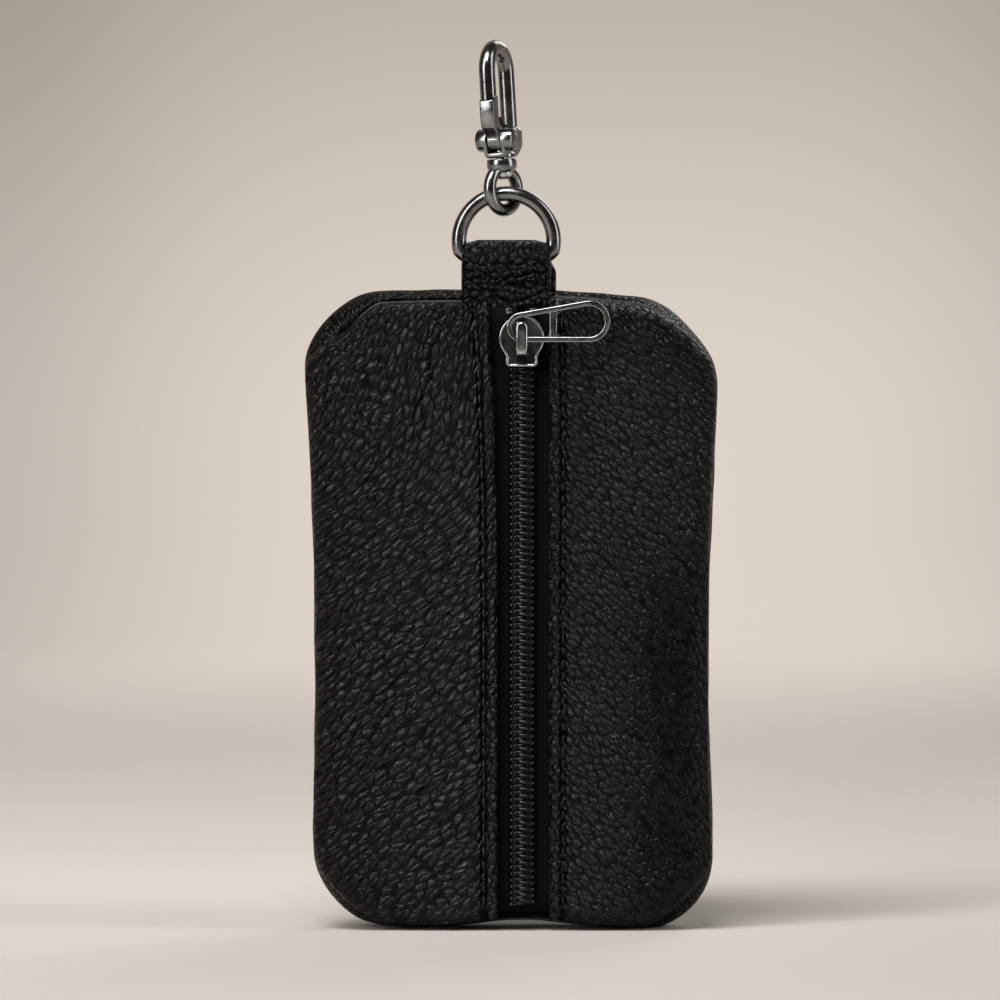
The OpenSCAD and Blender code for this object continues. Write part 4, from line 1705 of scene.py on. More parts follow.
@dataclass
class Zip:
    """Tapes, coil halves and top stops of the zip."""

    form: CaseForm = field(default_factory=CaseForm)
    tape_w: float = 10.85
    tape_t: float = 0.6
    tape_edge: float = 0.12
    tape_inner: float = 0.15
    tape_gap: float = 2.65
    split_low: float = 111.5
    split_w: float = 0.7
    coil_low: float = 4.4
    coil_top: float = 110.1
    pitch: float = 1.26
    outer: float = 2.3
    reach: float = 0.5
    thread_r: float = 0.3
    sewing_r: float = 0.18
    # Distance of the flat part of the tape from the plane y = 0
    tape_front: float = 10.6
    coil_mid: float = -11.2
    coil_half: float = 0.42
    keep: float = 0.42

    def tape_y(self, z: float) -> float:
        """Returns where the tape's front face lies at a height.

        Args:
            z: Height.

        Returns:
            The place from front to back.
        """
        form = self.form
        depth = form.half_h - abs(z - form.mid_z) - form.wall_bulge - form.leather_t
        share = form.front_share(depth, form.front_roll - form.leather_t)
        return form.seam_y - (form.front_depth - form.leather_t) * share + 0.05

    def sink(self, z: float) -> float:
        """Returns how far the coil lies back at a height, where the tape curves away."""
        return self.tape_y(z) + self.tape_front - 0.05

    def build(self) -> None:
        """Builds the zip, both sides."""
        for side in Side:
            for made in (self.tape(side), self.coil(side), self.sewing(side)):
                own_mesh(made)
            self.stop(side)

    def tape(self, side: Side) -> bpy.types.Object:
        """Builds one tape, parted at the top where the slider has opened it.

        Args:
            side: Its side of the zip.

        Returns:
            The tape.
        """
        form = self.form
        steps = 170
        low, high = form.mid_z - form.half_h + self.tape_gap, form.mid_z + form.half_h - self.tape_gap
        rim = soft_box(0.5, self.tape_t / 2, self.tape_edge, 2)
        sides = len(rim)
        half = self.tape_t / 2

        def place(i: int, j: int) -> tuple[Vector, Vector]:
            """Places a point of the tape.

            Args:
                i: Column of the grid.
                j: Row of the grid.

            Returns:
                The point and its grain.
            """
            z = low + (high - low) * j / steps
            a, b = rim[i % sides]
            inner = self.tape_inner + self.split_w * blend(self.split_low, self.split_low + 3.0, z)
            across = inner + (self.tape_w + self.tape_inner - inner) * (0.5 + a)
            y = self.tape_y(z) + half + b
            y -= 0.06 * math.sin(across * 1.1) * blend(2.7, 4.0, across)
            point = form.shaped(form.zip_x + side.value * across, y, z)
            return point, Vector((across, z, 1.0))

        shape = Shape.grid(sides, steps, place).capped()
        name = f"tape_{side.word}"
        return shape.piece(f"{name}_cloth", TAPE, "case", Slot.TAPE, [name])

    def coil(self, side: Side) -> bpy.types.Object:
        """Winds one half of the coil as a single flattened spring.

        Args:
            side: Its side of the zip.

        Returns:
            The half of the coil.
        """
        turns = int((self.coil_top - self.coil_low) / self.pitch)
        start = self.coil_low + (self.pitch / 2 if side is Side.RIGHT else 0.0)
        loop = (
            (-self.outer, 0.0, 0.0),
            (-self.outer * 0.86, -0.85, 0.1),
            (-self.outer * 0.45, -1.0, 0.17),
            (0.0, -1.0, 0.24),
            (self.reach * 0.8, -0.75, 0.31),
            (self.reach, 0.0, 0.38),
            (self.reach * 0.8, 0.75, 0.45),
            (0.0, 1.0, 0.52),
            (-self.outer * 0.5, 1.0, 0.68),
            (-self.outer * 0.86, 0.8, 0.86),
        )
        path = []
        for k in range(turns):
            for x, y, rise in loop:
                z = start + self.pitch * (k + rise)
                flat = self.coil_mid + y * self.coil_half + self.sink(z)
                path.append(self.form.shaped(self.form.zip_x - side.value * x, flat, z))
        wide = [(a * 1.1, b * 0.9) for a, b in circle(self.thread_r, 6)]
        shape = Shape.sweep(path, wide, AXIS_Z)
        name = f"coil_{side.word}"
        return shape.piece(f"{name}_nylon", NYLON, "case", Slot.COIL, [name], smooth=80.0)

    def sewing(self, side: Side) -> bpy.types.Object:
        """Sews the coil to its tape with a chain of small loops.

        Args:
            side: Its side of the zip.

        Returns:
            The thread.
        """
        row = Shape()
        count = int((self.coil_top - self.coil_low) / self.pitch) - 1
        for k in range(count):
            z = self.coil_low + self.pitch * (k + 0.5)
            sink = self.sink(z)
            for at, lean in ((1.02, 0.16), (1.62, -0.16)):
                path = []
                for t in (-1.0, -0.5, 0.0, 0.5, 1.0):
                    x = self.form.zip_x + side.value * (at + lean * t)
                    y = self.coil_mid - self.coil_half - 0.3 + 0.16 * t * t + sink
                    path.append(self.form.shaped(x, y, z + 0.6 * t))
                row.add(Shape.sweep(path, circle(self.sewing_r, 5), AXIS_X))
        return row.piece(f"coil_thread_{side.word}", COIL_THREAD, "case", Slot.TAPE, smooth=80.0)

    def stop(self, side: Side) -> None:
        """Builds one crimped top stop in the place of its node.

        Args:
            side: Its side of the zip.
        """
        name = f"top_stop_{side.word}"
        low, high = (Vector(v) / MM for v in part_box(name))
        body = Shape.block(low, high, 0.28)
        rib = Vector((0.12, 0.02, 0.42))
        inner = Shape.block(low + rib, Vector((high.x - 0.12, low.y + 0.3, high.z - 0.42)), 0.08)
        names = (f"stop_{side.word}_crimp", GUNMETAL, "case", Slot.GUNMETAL, [name])
        body.add(inner).piece(*names, Matrix.Identity(4))


@dataclass
class Slider:
    """Slider: rimmed front plate, back plate, wedge, flanges and the crown."""

    x: float = 1.9
    radius: float = 4.25
    shoulder_z: float = 111.15
    low_z: float = 105.8
    half_tail: float = 3.0
    front: Point = (-13.35, -12.45)
    heel: Point = (-9.8, -8.9)
    heel_top: float = 112.95
    wedge_low: float = 110.4
    half_wedge: float = 1.3
    flange_in: float = 2.7
    flange_back: float = -10.65
    flange_top: float = 4.8
    rim: float = 0.5
    rim_r: float = 0.27
    # How far the middle of the front plate is sunk inside its rim
    sunk: float = 0.16
    crown_half_w: float = 1.1
    crown_half_l: float = 3.05
    crown_mid: float = 111.15
    crown_front: float = -16.35
    crown_t: float = 0.8
    crown_leg: float = 1.0
    # Boxes of the dark blocks of painted shade for the lock leaf's notch in the crown and for the slot
    # in the front plate's tail
    notch: tuple[float, float, float, float] = (-0.5, 111.3, 0.3, 112.7)
    tail_slot: tuple[float, float, float, float] = (-0.95, 106.6, 0.85, 107.9)

    def outline(self, top: float, inset: float = 0.0) -> list[Point]:
        """Returns the outline of a plate: a round shoulder, a waist and a tail.

        Args:
            top: Height at which the shoulder is cut off.
            inset: How far inside the plate's edge the outline runs.

        Returns:
            The closed outline.
        """
        radius, tail = self.radius - inset, self.half_tail - inset
        meet = math.degrees(math.acos(tail / radius)) - 6.0
        limit = top - self.shoulder_z
        stop = 90.0 if limit >= radius else math.degrees(math.asin(limit / radius))
        centre = (0.0, self.shoulder_z)
        right = arc(centre, radius, -meet, stop, 22)
        waist = (tail - 0.1, right[0][1] - 1.0)
        left = [(-x, z) for x, z in reversed(right)]
        if stop == 90.0:
            left = left[1:]
        low = self.low_z + inset
        corner = 0.9 - inset
        base_l = arc((-tail + corner, low + corner), corner, 180.0, 270.0, 4)
        base_r = arc((tail - corner, low + corner), corner, 270.0, 360.0, 4)
        return [waist, *right, *left, (-waist[0], waist[1]), *base_l, *base_r]

    def build(self) -> None:
        """Builds the slider and its crown."""
        shift = CASE_FRAME @ Matrix.Translation((self.x, 0.0, 0.0))
        face = Shape.plate(self.outline(200.0), *self.front)
        self.rimmed(face)
        heel = Shape.plate(self.outline(self.heel_top), *self.heel).rounded(0.22, 3)
        w, low, roof = self.half_wedge, self.wedge_low, self.heel_top - 0.1
        outline = [(0.0, low), (w, low + w), (w, roof), (-w, roof), (-w, low + w)]
        wedge = Shape.plate(outline, self.front[0] + 0.3, self.heel[1] - 0.2).rounded(0.15, 2)
        body = Shape().add(face, heel, wedge)
        for side in (-1, 1):
            a, b = sorted((side * self.flange_in, side * self.half_tail))
            foot = Vector((a, self.front[0] + 0.35, self.low_z + 0.3))
            head = Vector((b, self.flange_back, self.low_z + self.flange_top))
            body.add(Shape.block(foot, head, 0.1))
        body.piece("slider_plates", SLIDER_FACE, "slider", Slot.GUNMETAL, ["slider_body"], shift)
        line = [Vector((x, self.front[0] + 0.1, z)) for x, z in self.outline(200.0, self.rim_r)]
        run = resampled(line, 0.35, closed=True)
        rim = Shape.sweep(run, circle(self.rim_r, 10), AXIS_Y, closed=True)
        rim.piece("slider_rim", CROWN, "slider", Slot.GUNMETAL, frame=shift, smooth=80.0)
        self.crown(shift)

    def rimmed(self, face: Shape) -> None:
        """Sinks the middle of the front plate so that a rim stands round it.

        Args:
            face: The front plate.
        """
        bm = face.bm
        plates = [f for f in bm.faces if len(f.verts) > 8]
        front = min(plates, key=lambda f: f.calc_center_median().y)
        bmesh.ops.inset_region(bm, faces=[front], thickness=self.rim, depth=0.0)
        bmesh.ops.translate(bm, verts=front.verts[:], vec=(0.0, self.sunk, 0.0))
        face.rounded(0.14, 3, 25.0)

    def crown(self, shift: Matrix) -> None:
        """Builds the crown over the puller, with dark blocks of painted shade for the lock leaf's notch
        and for the slot in the plate's tail.

        Args:
            shift: Frame of the slider.
        """
        w, half = self.crown_half_w, self.crown_half_l
        low, high = self.crown_mid - half, self.crown_mid + half
        stadium = arc((0.0, high - w), w, 0.0, 180.0, 10) + arc((0.0, low + w), w, 180.0, 360.0, 10)
        bar = Shape.plate(stadium, self.crown_front, self.crown_front + self.crown_t)
        crown = Shape().add(bar.rounded(0.52, 6))
        for end in (low, high - self.crown_leg):
            foot = Vector((-w * 0.86, self.crown_front + 0.35, end + 0.05))
            head = Vector((w * 0.86, self.front[0] + 0.2, end + self.crown_leg))
            crown.add(Shape.block(foot, head, 0.2))
        crown.piece("slider_crown", CROWN, "slider", Slot.GUNMETAL, ["slider_bridge"], shift)
        notch = self.inlay(self.notch, self.crown_front)
        slot = self.inlay(self.tail_slot, self.front[0] + self.sunk)
        notch.add(slot).piece("slider_recess_shade", RECESS_SHADE, "slider", Slot.GUNMETAL, frame=shift)

    def inlay(self, box: tuple[float, float, float, float], face: float) -> Shape:
        """Builds a dark block of painted shade that stands for a small recess.

        Args:
            box: Its left, its foot, its right and its top.
            face: Where the face lies that it is let into.

        Returns:
            The shape.
        """
        low, high = Vector((box[0], face - 0.02, box[1])), Vector((box[2], face + 0.3, box[3]))
        return Shape.block(low, high, 0.06)


@dataclass
class Puller:
    """Puller: a flat wire loop with a crossbar, wider at its free end."""

    left_x: float = -0.9
    low_z: float = 110.375
    mid_y: float = -14.45
    narrow: float = 2.8
    wide: float = 3.9
    length: float = 19.3
    wire: float = 1.05
    bar_x: float = 7.0
    bar_w: float = 1.5
    groove_d: float = 0.3
    fillet_r: float = 1.2

    def build(self) -> None:
        """Builds the puller."""
        h = self.wire / 2
        a, b = self.narrow, self.wide
        first = (self.left_x + a, self.low_z + a)
        last = (self.left_x + self.length - b, self.low_z + b)
        lean = math.degrees(math.asin((b - a) / (last[0] - first[0])))
        left = arc(first, a - h, 90.0 + lean * 2, 270.0, 22)
        right = arc(last, b - h, -90.0, 90.0 + lean * 2, 26)
        run = [Vector((x, self.mid_y, z)) for x, z in left + right]
        path = self.even(run)
        loop = Shape.sweep(path, self.grooved(h, h, 0.24), AXIS_Y, closed=True)
        mid = self.bar_x + self.bar_w / 2
        share = (mid - first[0]) / (last[0] - first[0])
        top = self.low_z + 2 * (a + (b - a) * share)
        low, high = self.low_z + self.wire - 0.2, top - self.wire + 0.2
        bar_path = [Vector((mid, self.mid_y, z)) for z in (low, (low + high) / 2, high)]
        bar = Shape.sweep(bar_path, self.grooved(h * 0.92, self.bar_w / 2, 0.34), AXIS_Y)
        fillets = [self.fillet(x, z, sx, sz) for x, z, sx, sz in self.corners(mid, top)]
        loop.add(bar, *fillets).piece("puller_wire", WIRE, "puller", Slot.GUNMETAL, ["puller"])

    def grooved(self, half_a: float, half_b: float, corner: float) -> list[Point]:
        """Returns a rounded section with a groove in its front face.

        Args:
            half_a: Half its depth.
            half_b: Half its width.
            corner: Radius of its corners.

        Returns:
            The section's points.
        """
        run = soft_box(half_a, half_b, corner, 3)
        edge = half_b - corner - 0.02
        floor = self.groove_d - half_a
        groove = [(-half_a, edge), (floor, edge * 0.5), (floor, -edge * 0.5), (-half_a, -edge)]
        return run[:8] + groove + run[8:]

    def even(self, run: Sequence[Vector]) -> list[Vector]:
        """Adds points on the straight strands of a closed run.

        Args:
            run: Points of the run.

        Returns:
            The denser run.
        """
        path: list[Vector] = []
        for k, point in enumerate(run):
            after = run[(k + 1) % len(run)]
            parts = max(1, round((after - point).length / 0.8))
            path += [point.lerp(after, n / parts) for n in range(parts)]
        return path

    def corners(self, mid: float, top: float) -> list[tuple[float, float, int, int]]:
        """Returns the four inner corners at the crossbar.

        Args:
            mid: Middle of the crossbar.
            top: Top of the loop at the crossbar.

        Returns:
            For each corner its place across, its height and the two ways into the window.
        """
        h = self.bar_w / 2 - 0.1
        low, high = self.low_z + self.wire - 0.1, top - self.wire + 0.1
        return [(mid + sx * h, low if sz > 0 else high, sx, sz) for sx in (-1, 1) for sz in (-1, 1)]

    def fillet(self, x: float, z: float, sx: int, sz: int) -> Shape:
        """Builds the small web that rounds one inner corner.

        Args:
            x: Place across.
            z: Height.
            sx: The way into the window across.
            sz: The way into it in height.

        Returns:
            The shape.
        """
        r, half = self.fillet_r, 0.44
        angles = [math.pi / 2 * k / 6 for k in range(7)]
        curve = [(x + sx * (r - r * math.cos(t)), z + sz * (r - r * math.sin(t))) for t in angles]
        return Shape.plate([(x, z), *curve], self.mid_y - half, self.mid_y + half).rounded(0.06, 1)


# Tab, D-ring, swivel and hook


@dataclass
class Tab:
    """Leather tab folded round the D-ring's bar."""

    x: float = -1.0
    seam_y: float = -6.0
    bar_z: float = 126.0
    foot_z: float = 116.9
    # Half the width at rising heights
    width: LookUp = LookUp([(124.0, 8.4), (126.4, 8.3), (127.4, 8.15), (128.1, 7.95), (128.55, 7.7)])
    loop_r: float = 2.55
    half_t: float = 1.0
    ply_shift: float = 0.95

    def build(self) -> None:
        """Builds the tab."""
        y, z = self.seam_y, self.bar_z
        front = [(y - 1.0, self.foot_z), (y - 1.0, 119.6), (y - 1.25, 121.6), (y - 2.15, 123.9)]
        over = arc((y, z), self.loop_r, 180.0, 0.0, 10)
        back = [(2 * y - a, b) for a, b in reversed(front)]
        points = [Vector((self.x, a, b)) for a, b in front + over + back]
        path = resampled(points, 0.28)
        lengths = [0.0]
        for p, q in zip(path, path[1:]):
            lengths.append(lengths[-1] + (q - p).length)
        names = ("tab_leather", TAB_LEATHER, "case", Slot.LEATHER, ["hanger_tab"])
        self.strip(path, lengths, 56).piece(*names, smooth=60.0)

    def strip(self, path: list[Vector], lengths: list[float], spans: int) -> Shape:
        """Lays the strap as a closed sheet with soft edges.

        Args:
            path: Points of its middle line.
            lengths: Arc lengths at those points.
            spans: Number of faces across one side.

        Returns:
            The shape.
        """
        turns = 6
        ring = 2 * spans + 2 * turns
        count = len(path)
        edge = self.half_t * 0.55

        def place(i: int, j: int) -> tuple[Vector, Vector]:
            """Places a point round the strap.

            Args:
                i: Column of the grid.
                j: Row of the grid.

            Returns:
                The point and its grain.
            """
            k = i % ring
            point = path[j]
            ahead = (path[min(j + 1, count - 1)] - path[max(j - 1, 0)]).normalized()
            out = AXIS_X.cross(ahead)
            half = self.width(point.z) - edge
            if k <= spans:
                across, proud = -half + 2 * half * k / spans, 1.0
                flat = across
            elif k < spans + turns:
                turn = math.pi * (k - spans) / turns
                across, proud = half + edge * math.sin(turn), math.cos(turn)
                flat = half + turn * 0.5
            elif k <= 2 * spans + turns:
                across, proud = half - 2 * half * (k - spans - turns) / spans, -1.0
                flat = across + 40.0
            else:
                turn = math.pi * (k - 2 * spans - turns) / turns
                across, proud = -half - edge * math.sin(turn), -math.cos(turn)
                flat = -half - (math.pi - turn) * 0.5
            wave = 0.1 * hills(across, lengths[j], (3.0, 3.0), 5.0)
            low = blend(127.0, 124.5, point.z)
            wave += 0.3 * low * hills(across, lengths[j] + 0.25 * across, (5.5, 1.3), 2.0)
            rise = blend(127.0, 128.6, point.z) * (0.3 + 0.85 * blend(0.72, 1.0, abs(across) / half))
            thick = self.half_t * proud + (wave + rise if proud > 0 else rise * 0.5)
            behind = self.ply_shift * blend(126.0, 123.0, point.z) if point.y > self.seam_y else 0.0
            place_at = point + Vector((across + behind, 0.0, 0.0)) - out * thick
            return place_at, Vector((flat, lengths[j], 1.0))

        return Shape.grid(ring, count - 1, place).capped()


@dataclass
class DRing:
    """D-ring: an arc of round wire whose ends turn into a straight bar."""

    x: float = -1.0
    y: float = -6.0
    z: float = 129.2
    radius: float = 8.85
    wire: float = 2.8
    bar_drop: float = 3.2

    def build(self) -> None:
        """Builds the ring."""
        low = math.degrees(math.asin(self.bar_drop / self.radius))
        half = math.sqrt(self.radius**2 - self.bar_drop**2)
        over = arc((0.0, 0.0), self.radius, -low + 9.0, 180.0 + low - 9.0, 56)
        bar = [(-half + 1.5 + (2 * half - 3.0) * k / 10, -self.bar_drop) for k in range(11)]
        points = [Vector((self.x + a, self.y, self.z + b)) for a, b in over + bar]
        path = resampled(points, 0.45, closed=True)
        shape = Shape.sweep(path, circle(self.wire / 2, 24), AXIS_Y, closed=True)
        shape.piece("d_ring_wire", GUNMETAL, "d_ring", Slot.GUNMETAL, ["d_ring"], smooth=80.0)


@dataclass
class SnapHook:
    """Swivel eye, riveted post, hook body, gate and its pin, in the hanging frame."""

    lean: float = 3.3
    eye_turn: float = 50.0
    hook_turn: float = 67.0
    eye_z: float = 9.65
    eye_r: float = 3.9
    eye_wire: float = 2.4
    collar: Point = (13.2, 15.4)
    collar_r: float = 2.8
    post_r: float = 1.2
    post_l: float = 2.3
    head: Point = (12.15, 13.05)
    head_r: float = 1.9
    # How far the rivet's head bulges down into the eye
    dome: float = 0.75
    low: float = 15.55
    pivot: Point = (-1.6, 18.95)
    pin_r: float = 0.8
    boss_r: float = 2.15
    boss_half: float = 3.8
    claw_r: float = 4.5
    claw_z: float = 31.65
    wire: float = 3.05
    gate_l: float = 8.6
    half_gate: float = 1.4
    knuckle_r: float = 1.95
    half_block: float = 2.1
    cheek_in: float = 1.47
    shank_r: float = 2.3

    @property
    def chain(self) -> Matrix:
        """Frame of the hanging parts: the centre of the ring's arc, leaning left."""
        hang = Matrix.Translation((-1.0, -6.0, 129.2))
        return CASE_FRAME @ hang @ turned(-self.lean, "Y")

    @property
    def hook_frame(self) -> Matrix:
        """Frame of the hook: x from the gate to the spine."""
        return self.chain @ turned(self.hook_turn, "Z")

    def at_pivot(self, quarter: int) -> Matrix:
        """Places a lathed part on the gate's axis, turned by quarters about X."""
        pu, pz = self.pivot
        return Matrix.Translation((pu, 0.0, pz)) @ turned(90.0 * quarter, "X")

    def build(self) -> None:
        """Builds the swivel, the hook and its gate."""
        self.eye()
        self.post()
        self.body()
        self.gate()
        self.pin()

    def eye(self) -> None:
        """Builds the eye with its collar."""
        loop = arc((0.0, self.eye_z), self.eye_r, 0.0, 360.0, 56)[:-1]
        path = [Vector((a, 0.0, b)) for a, b in loop]
        ring = Shape.sweep(path, circle(self.eye_wire / 2, 20), AXIS_Y, closed=True)
        ring.moved(turned(self.eye_turn, "Z"))
        low, high = self.collar
        bore = self.post_r + 0.05
        r = self.collar_r
        profile = [(bore, low), (r - 0.75, low - 0.35), (r - 0.2, low + 0.15), (r, low + 0.6)]
        profile += [(r, high - 0.4), (r - 0.12, high - 0.12), (r - 0.4, high)]
        profile += [(bore, high), (bore, low)]
        names = ("swivel_loop", GUNMETAL, "swivel_eye", Slot.GUNMETAL, ["swivel_eye"])
        ring.add(Shape.lathe(profile, 48)).piece(*names, self.chain)

    def post(self) -> None:
        """Builds the post with its hammered head."""
        low, high = self.head
        r, top = self.head_r, self.low + self.post_l
        profile = [(0.0, low - self.dome), (r * 0.4, low - self.dome * 0.88)]
        profile += [(r * 0.72, low - self.dome * 0.5), (r * 0.92, low), (r, low + 0.45)]
        profile += [(r, high - 0.12), (r - 0.15, high)]
        profile += [(self.post_r, high), (self.post_r, top), (0.0, top)]
        names = ("swivel_rivet", STEEL, "hook", Slot.STEEL, ["swivel_post"])
        Shape.lathe(profile, 40).piece(*names, self.chain)

    def body(self) -> None:
        """Builds the hook: wire claw and spine, block, cheeks and bosses."""
        pu, pz = self.pivot
        r = self.claw_r
        tip = self.gate_l + 0.15
        nose_z = pz + math.sqrt(tip**2 - (r + pu) ** 2)
        over = arc((0.0, self.claw_z), r, 180.0, 0.0, 30)
        down = [(r, self.claw_z - 2.0), (r, 24.0), (r, 20.6)]
        down += [(r - 0.25, 18.9), (r - 1.1, 17.6), (r - 2.2, 16.9)]
        line = [(-r, nose_z + 0.3), (-r, self.claw_z - 2.2), *over, *down]
        path = resampled([Vector((a, 0.0, b)) for a, b in line], 0.5)
        wire = Shape.sweep(path, circle(self.wire / 2, 22), AXIS_Y)
        for vert in wire.bm.verts:
            if vert.co.z < nose_z + 0.35 and vert.co.x < 0.0:
                reach = max(0.0, tip**2 - (vert.co.x - pu) ** 2)
                vert.co.z = pz + math.sqrt(reach)
        h, low = self.half_block, self.low
        shank = arc((pu, pz), self.shank_r, 262.0, 360.0, 8)
        core = [(-2.9, low), (2.9, low), (4.6, low + 0.9), (5.9, 17.6), (6.0, 20.6), (3.6, 21.4)]
        core += [(1.2, 20.4), *reversed(shank), (-3.0, 16.7)]
        block = Shape.plate(core, -h, h).rounded(0.55, 4, 28.0)
        hull = Shape().add(wire, block)
        round_in = arc((pu, pz), self.boss_r, -30.0, 190.0, 18)
        cheek = [(-2.9, low + 0.4), (1.9, low + 0.4), (2.1, 19.6), *round_in]
        for side in (-1, 1):
            a, b = sorted((side * self.cheek_in, side * h))
            hull.add(Shape.plate(cheek, a, b).rounded(0.2, 3, 28.0))
            hull.add(self.boss(side))
        foot = [(0.0, low), (2.35, low), (2.6, low + 0.2)]
        foot += [(2.6, low + 0.75), (2.3, low + 1.1), (0.0, low + 1.3)]
        hull.add(Shape.lathe(foot, 40))
        hull.piece("hook_shell", GUNMETAL, "hook", Slot.GUNMETAL, ["hook_body"], self.hook_frame)

    def boss(self, side: int) -> Shape:
        """Builds the round boss at one end of the pin.

        Args:
            side: 1 towards the hook's own y, -1 the other way.

        Returns:
            The shape.
        """
        r, bore, low, top = self.boss_r, self.pin_r, 1.6, self.boss_half
        profile = [(bore, low), (r, low), (r, top - 0.5), (r - 0.14, top - 0.18), (r - 0.45, top)]
        profile += [(bore + 0.5, top), (bore + 0.35, top - 0.18), (bore, top - 0.18), (bore, low)]
        return Shape.lathe(profile, 36).moved(self.at_pivot(-side))

    def gate(self) -> None:
        """Builds the gate: a rounded lever from its knuckle up to the nose."""
        pu, pz = self.pivot
        g, half = self.gate_l, self.half_gate
        left, right = -self.claw_r - half, -self.claw_r + half
        start = math.degrees(math.acos((left - pu) / g))
        end = math.degrees(math.acos((right - pu) / g))
        tip = arc((pu, pz), g, end, start, 8)
        knuckle = arc((pu, pz), self.knuckle_r, 165.0, 400.0, 20)
        outline = [*knuckle, (right + 0.15, pz + 3.1), (right, pz + 4.6)]
        outline += [*tip, (left, pz + 3.6), (left + 0.25, pz + 2.4)]
        lever = Shape.plate(outline, -half, half).rounded(1.0, 5, 28.0)
        lever.piece("gate_lever", GUNMETAL, "gate", Slot.GUNMETAL, ["gate"], self.hook_frame)

    def pin(self) -> None:
        """Builds the pin with its two domed heads."""
        r, top = self.pin_r, self.boss_half
        head = [(r, top - 0.2), (r + 0.36, top - 0.2), (r + 0.42, top - 0.04)]
        head += [(r * 0.9, top + 0.12), (0.0, top + 0.22)]
        shape = Shape.lathe(mirrored(head), 32).moved(self.at_pivot(1))
        shape.piece("gate_pin_heads", DARK_STEEL, "hook", Slot.STEEL, ["gate_pin"], self.hook_frame)


@dataclass
class Inside:
    """Inner strap, its rivet and the split ring for the keys."""

    strap_y: float = 3.0
    half_w: float = 3.5
    strap_top: float = 116.6
    tunnel_z: float = 100.6
    tunnel_r: float = 1.513
    strap_t: float = 1.2
    ring_r: float = 11.9
    ring_z: float = 88.963
    # Half the distance between the ring's two turns
    ring_half: float = 0.54
    rivet_z: float = 110.1
    rivet_r: float = 1.5
    cap_r: float = 2.8
    cap_t: float = 0.7

    def build(self) -> None:
        """Builds the strap, the rivet and the ring."""
        self.strap()
        self.rivet()
        self.ring()

    def strap(self) -> None:
        """Builds the folded strap."""
        y, t = self.strap_y, self.strap_t / 2
        r = self.tunnel_r + t
        front = [(y - t, self.strap_top), (y - t, 112.0), (y - t, 106.0), (y - t - 0.25, 104.0)]
        front += [(y - r + 0.35, 102.1)]
        under = arc((y, self.tunnel_z), r, 180.0, 360.0, 12)
        back = [(2 * y - a, b) for a, b in reversed(front)]
        path = resampled([Vector((0.0, a, b)) for a, b in front + under + back], 0.5)
        shape = Shape.sweep(path, soft_box(self.half_w, t, 0.3, 3), AXIS_X)
        shape.piece("inner_strap", TAB_LEATHER, "case", Slot.LEATHER, ["key_strap"], smooth=60.0)

    def rivet(self) -> None:
        """Builds the rivet with its two caps."""
        reach = self.strap_t + 0.05
        top = reach + self.cap_t
        r = self.cap_r
        cap = [(self.rivet_r, reach), (r - 0.15, reach), (r, reach + 0.18)]
        cap += [(r - 0.3, top - 0.15), (r * 0.5, top), (0.0, top)]
        shape = Shape.lathe(mirrored(cap), 36)
        shape.moved(Matrix.Translation((0.0, self.strap_y, self.rivet_z)) @ turned(90.0, "X"))
        shape.piece("strap_rivet_caps", STEEL, "case", Slot.STEEL, ["strap_rivet"])

    def ring(self) -> None:
        """Winds the split ring as two turns of flat wire."""
        steps, r = 224, self.ring_r
        path = []
        for k in range(steps + 1):
            share = k / steps
            turn = 4 * math.pi * share + 3.0
            y = self.strap_y - self.ring_half + 2 * self.ring_half * blend(0.44, 0.56, share)
            path.append(Vector((r * math.sin(turn), y, self.ring_z + r * math.cos(turn))))
        shape = Shape.sweep(path, soft_box(0.5, 1.05, 0.3, 3), AXIS_Y)
        shape.piece("key_ring_coil", STEEL, "key_ring", Slot.STEEL, ["key_ring"], smooth=60.0)


# Studio


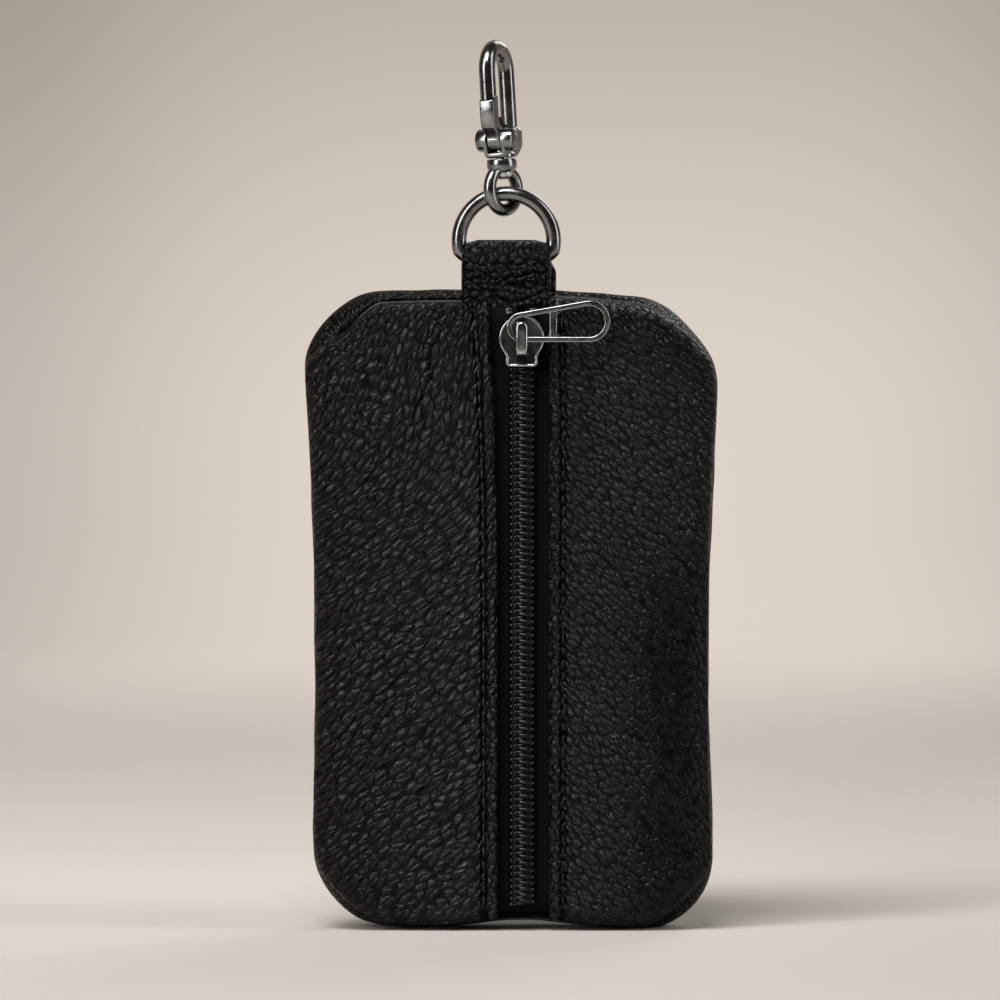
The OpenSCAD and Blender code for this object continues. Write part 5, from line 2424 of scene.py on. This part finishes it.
@dataclass
class Studio:
    """Paper sweep, soft lamps and the long-lens camera."""

    target: Triple = (-0.0022, 0.0, 0.0805)
    azimuth: float = 0.3
    elevation: float = 2.2
    distance: float = 1.5
    frame_width: float = 0.188
    sensor: float = 36.0
    world: Colour = (0.5, 0.47, 0.44)

    def build(self) -> None:
        """Builds the sweep, the lamps, the world and the camera."""
        scene = bpy.context.scene
        scene.view_settings.view_transform = "Standard"
        self.sweep()
        self.sky(scene)
        self.lamp("lamp_left", (-0.74, -0.66, 0.52), (0.35, 0.9), 6.6)
        self.lamp("lamp_right", (0.9, -0.25, 0.4), (0.3, 1.2), 4.4)
        self.lamp("lamp_top", (-0.25, -0.55, 1.1), (0.7, 0.5), 13.5)
        self.lamp("lamp_back", (0.5, 0.95, 0.75), (0.5, 0.8), 3.6)
        self.camera(scene)

    def sweep(self) -> None:
        """Builds the floor that curves up into the wall."""
        front, flat, bend, height = -4000.0, 1650.0, 260.0, 3000.0
        profile = [(front, 0.0), (-300.0, 0.0), (0.0, 0.0), (flat * 0.6, 0.0)]
        profile += arc((flat, bend), bend, -90.0, 0.0, 24)
        profile += [(flat + bend, height)]

        def place(i: int, j: int) -> tuple[Vector, Vector]:
            """Places a point of the sweep."""
            y, z = profile[j]
            return Vector((front * (1.0 - i / 6), y, z)), Vector()

        shape = Shape.grid(12, len(profile) - 1, place)
        bm = shape.bm
        bm.normal_update()
        if sum(f.normal.z for f in bm.faces) < 0.0:
            bmesh.ops.reverse_faces(bm, faces=bm.faces[:])
        bmesh.ops.transform(bm, matrix=Matrix.Scale(MM, 4), verts=bm.verts[:])
        mesh = bpy.data.meshes.new("paper_sweep")
        bm.to_mesh(mesh)
        bm.free()
        mesh.shade_smooth()
        mesh.materials.append(Backdrop().material)
        made = bpy.data.objects.new("paper_sweep", mesh)
        bpy.context.scene.collection.objects.link(made)

    def sky(self, scene: bpy.types.Scene) -> None:
        """Sets the even light of the room.

        Args:
            scene: The scene.
        """
        world = bpy.data.worlds.new("room")
        world.use_nodes = True
        back = world.node_tree.nodes["Background"]
        back.inputs["Color"].default_value = (*self.world, 1.0)
        back.inputs["Strength"].default_value = 0.1
        scene.world = world

    def lamp(self, name: str, place: Triple, size: Point, power: float) -> None:
        """Adds one soft lamp that faces the case.

        Args:
            name: Its name.
            place: Where it stands, in metres.
            size: Its width and height, in metres.
            power: Its power, in watts.
        """
        data = bpy.data.lights.new(name, "AREA")
        data.shape = "RECTANGLE"
        data.size, data.size_y = size
        data.energy = power
        made = bpy.data.objects.new(name, data)
        made.location = place
        aim = Vector((0.0, 0.0, 0.08)) - Vector(place)
        made.rotation_euler = aim.to_track_quat("-Z", "Y").to_euler()
        bpy.context.scene.collection.objects.link(made)

    def camera(self, scene: bpy.types.Scene) -> None:
        """Adds the camera at the photograph's angle.

        Args:
            scene: The scene.
        """
        data = bpy.data.cameras.new("camera")
        data.sensor_width = self.sensor
        data.lens = self.sensor * self.distance / self.frame_width
        data.clip_end = 20.0
        made = bpy.data.objects.new("camera", data)
        turn, rise = math.radians(self.azimuth), math.radians(self.elevation)
        flat = math.cos(rise)
        away = Vector((math.sin(turn) * flat, -math.cos(turn) * flat, math.sin(rise)))
        target = Vector(self.target)
        made.location = target + away * self.distance
        made.rotation_euler = (-away).to_track_quat("-Z", "Y").to_euler()
        scene.collection.objects.link(made)
        scene.camera = made


def dress(node: str, finish: Any) -> None:
    """Gives a CAD node that stays its finish.

    Args:
        node: The node's name.
        finish: The finish that it wears.
    """
    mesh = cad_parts[node].data
    mesh.materials.clear()
    mesh.materials.append(finish.material)
    LOG.info("%s keeps its solid", node)


def main() -> None:
    """Builds the sub-assemblies in order."""
    logging.basicConfig(level=logging.INFO, format="%(message)s")
    Studio().build()
    Case().build()
    Zip().build()
    Slider().build()
    Puller().build()
    Tab().build()
    DRing().build()
    SnapHook().build()
    Inside().build()
    dress("lock_spring", STEEL)
    dress("gate_spring", SPRING)


if __name__ == "__main__":
    main()
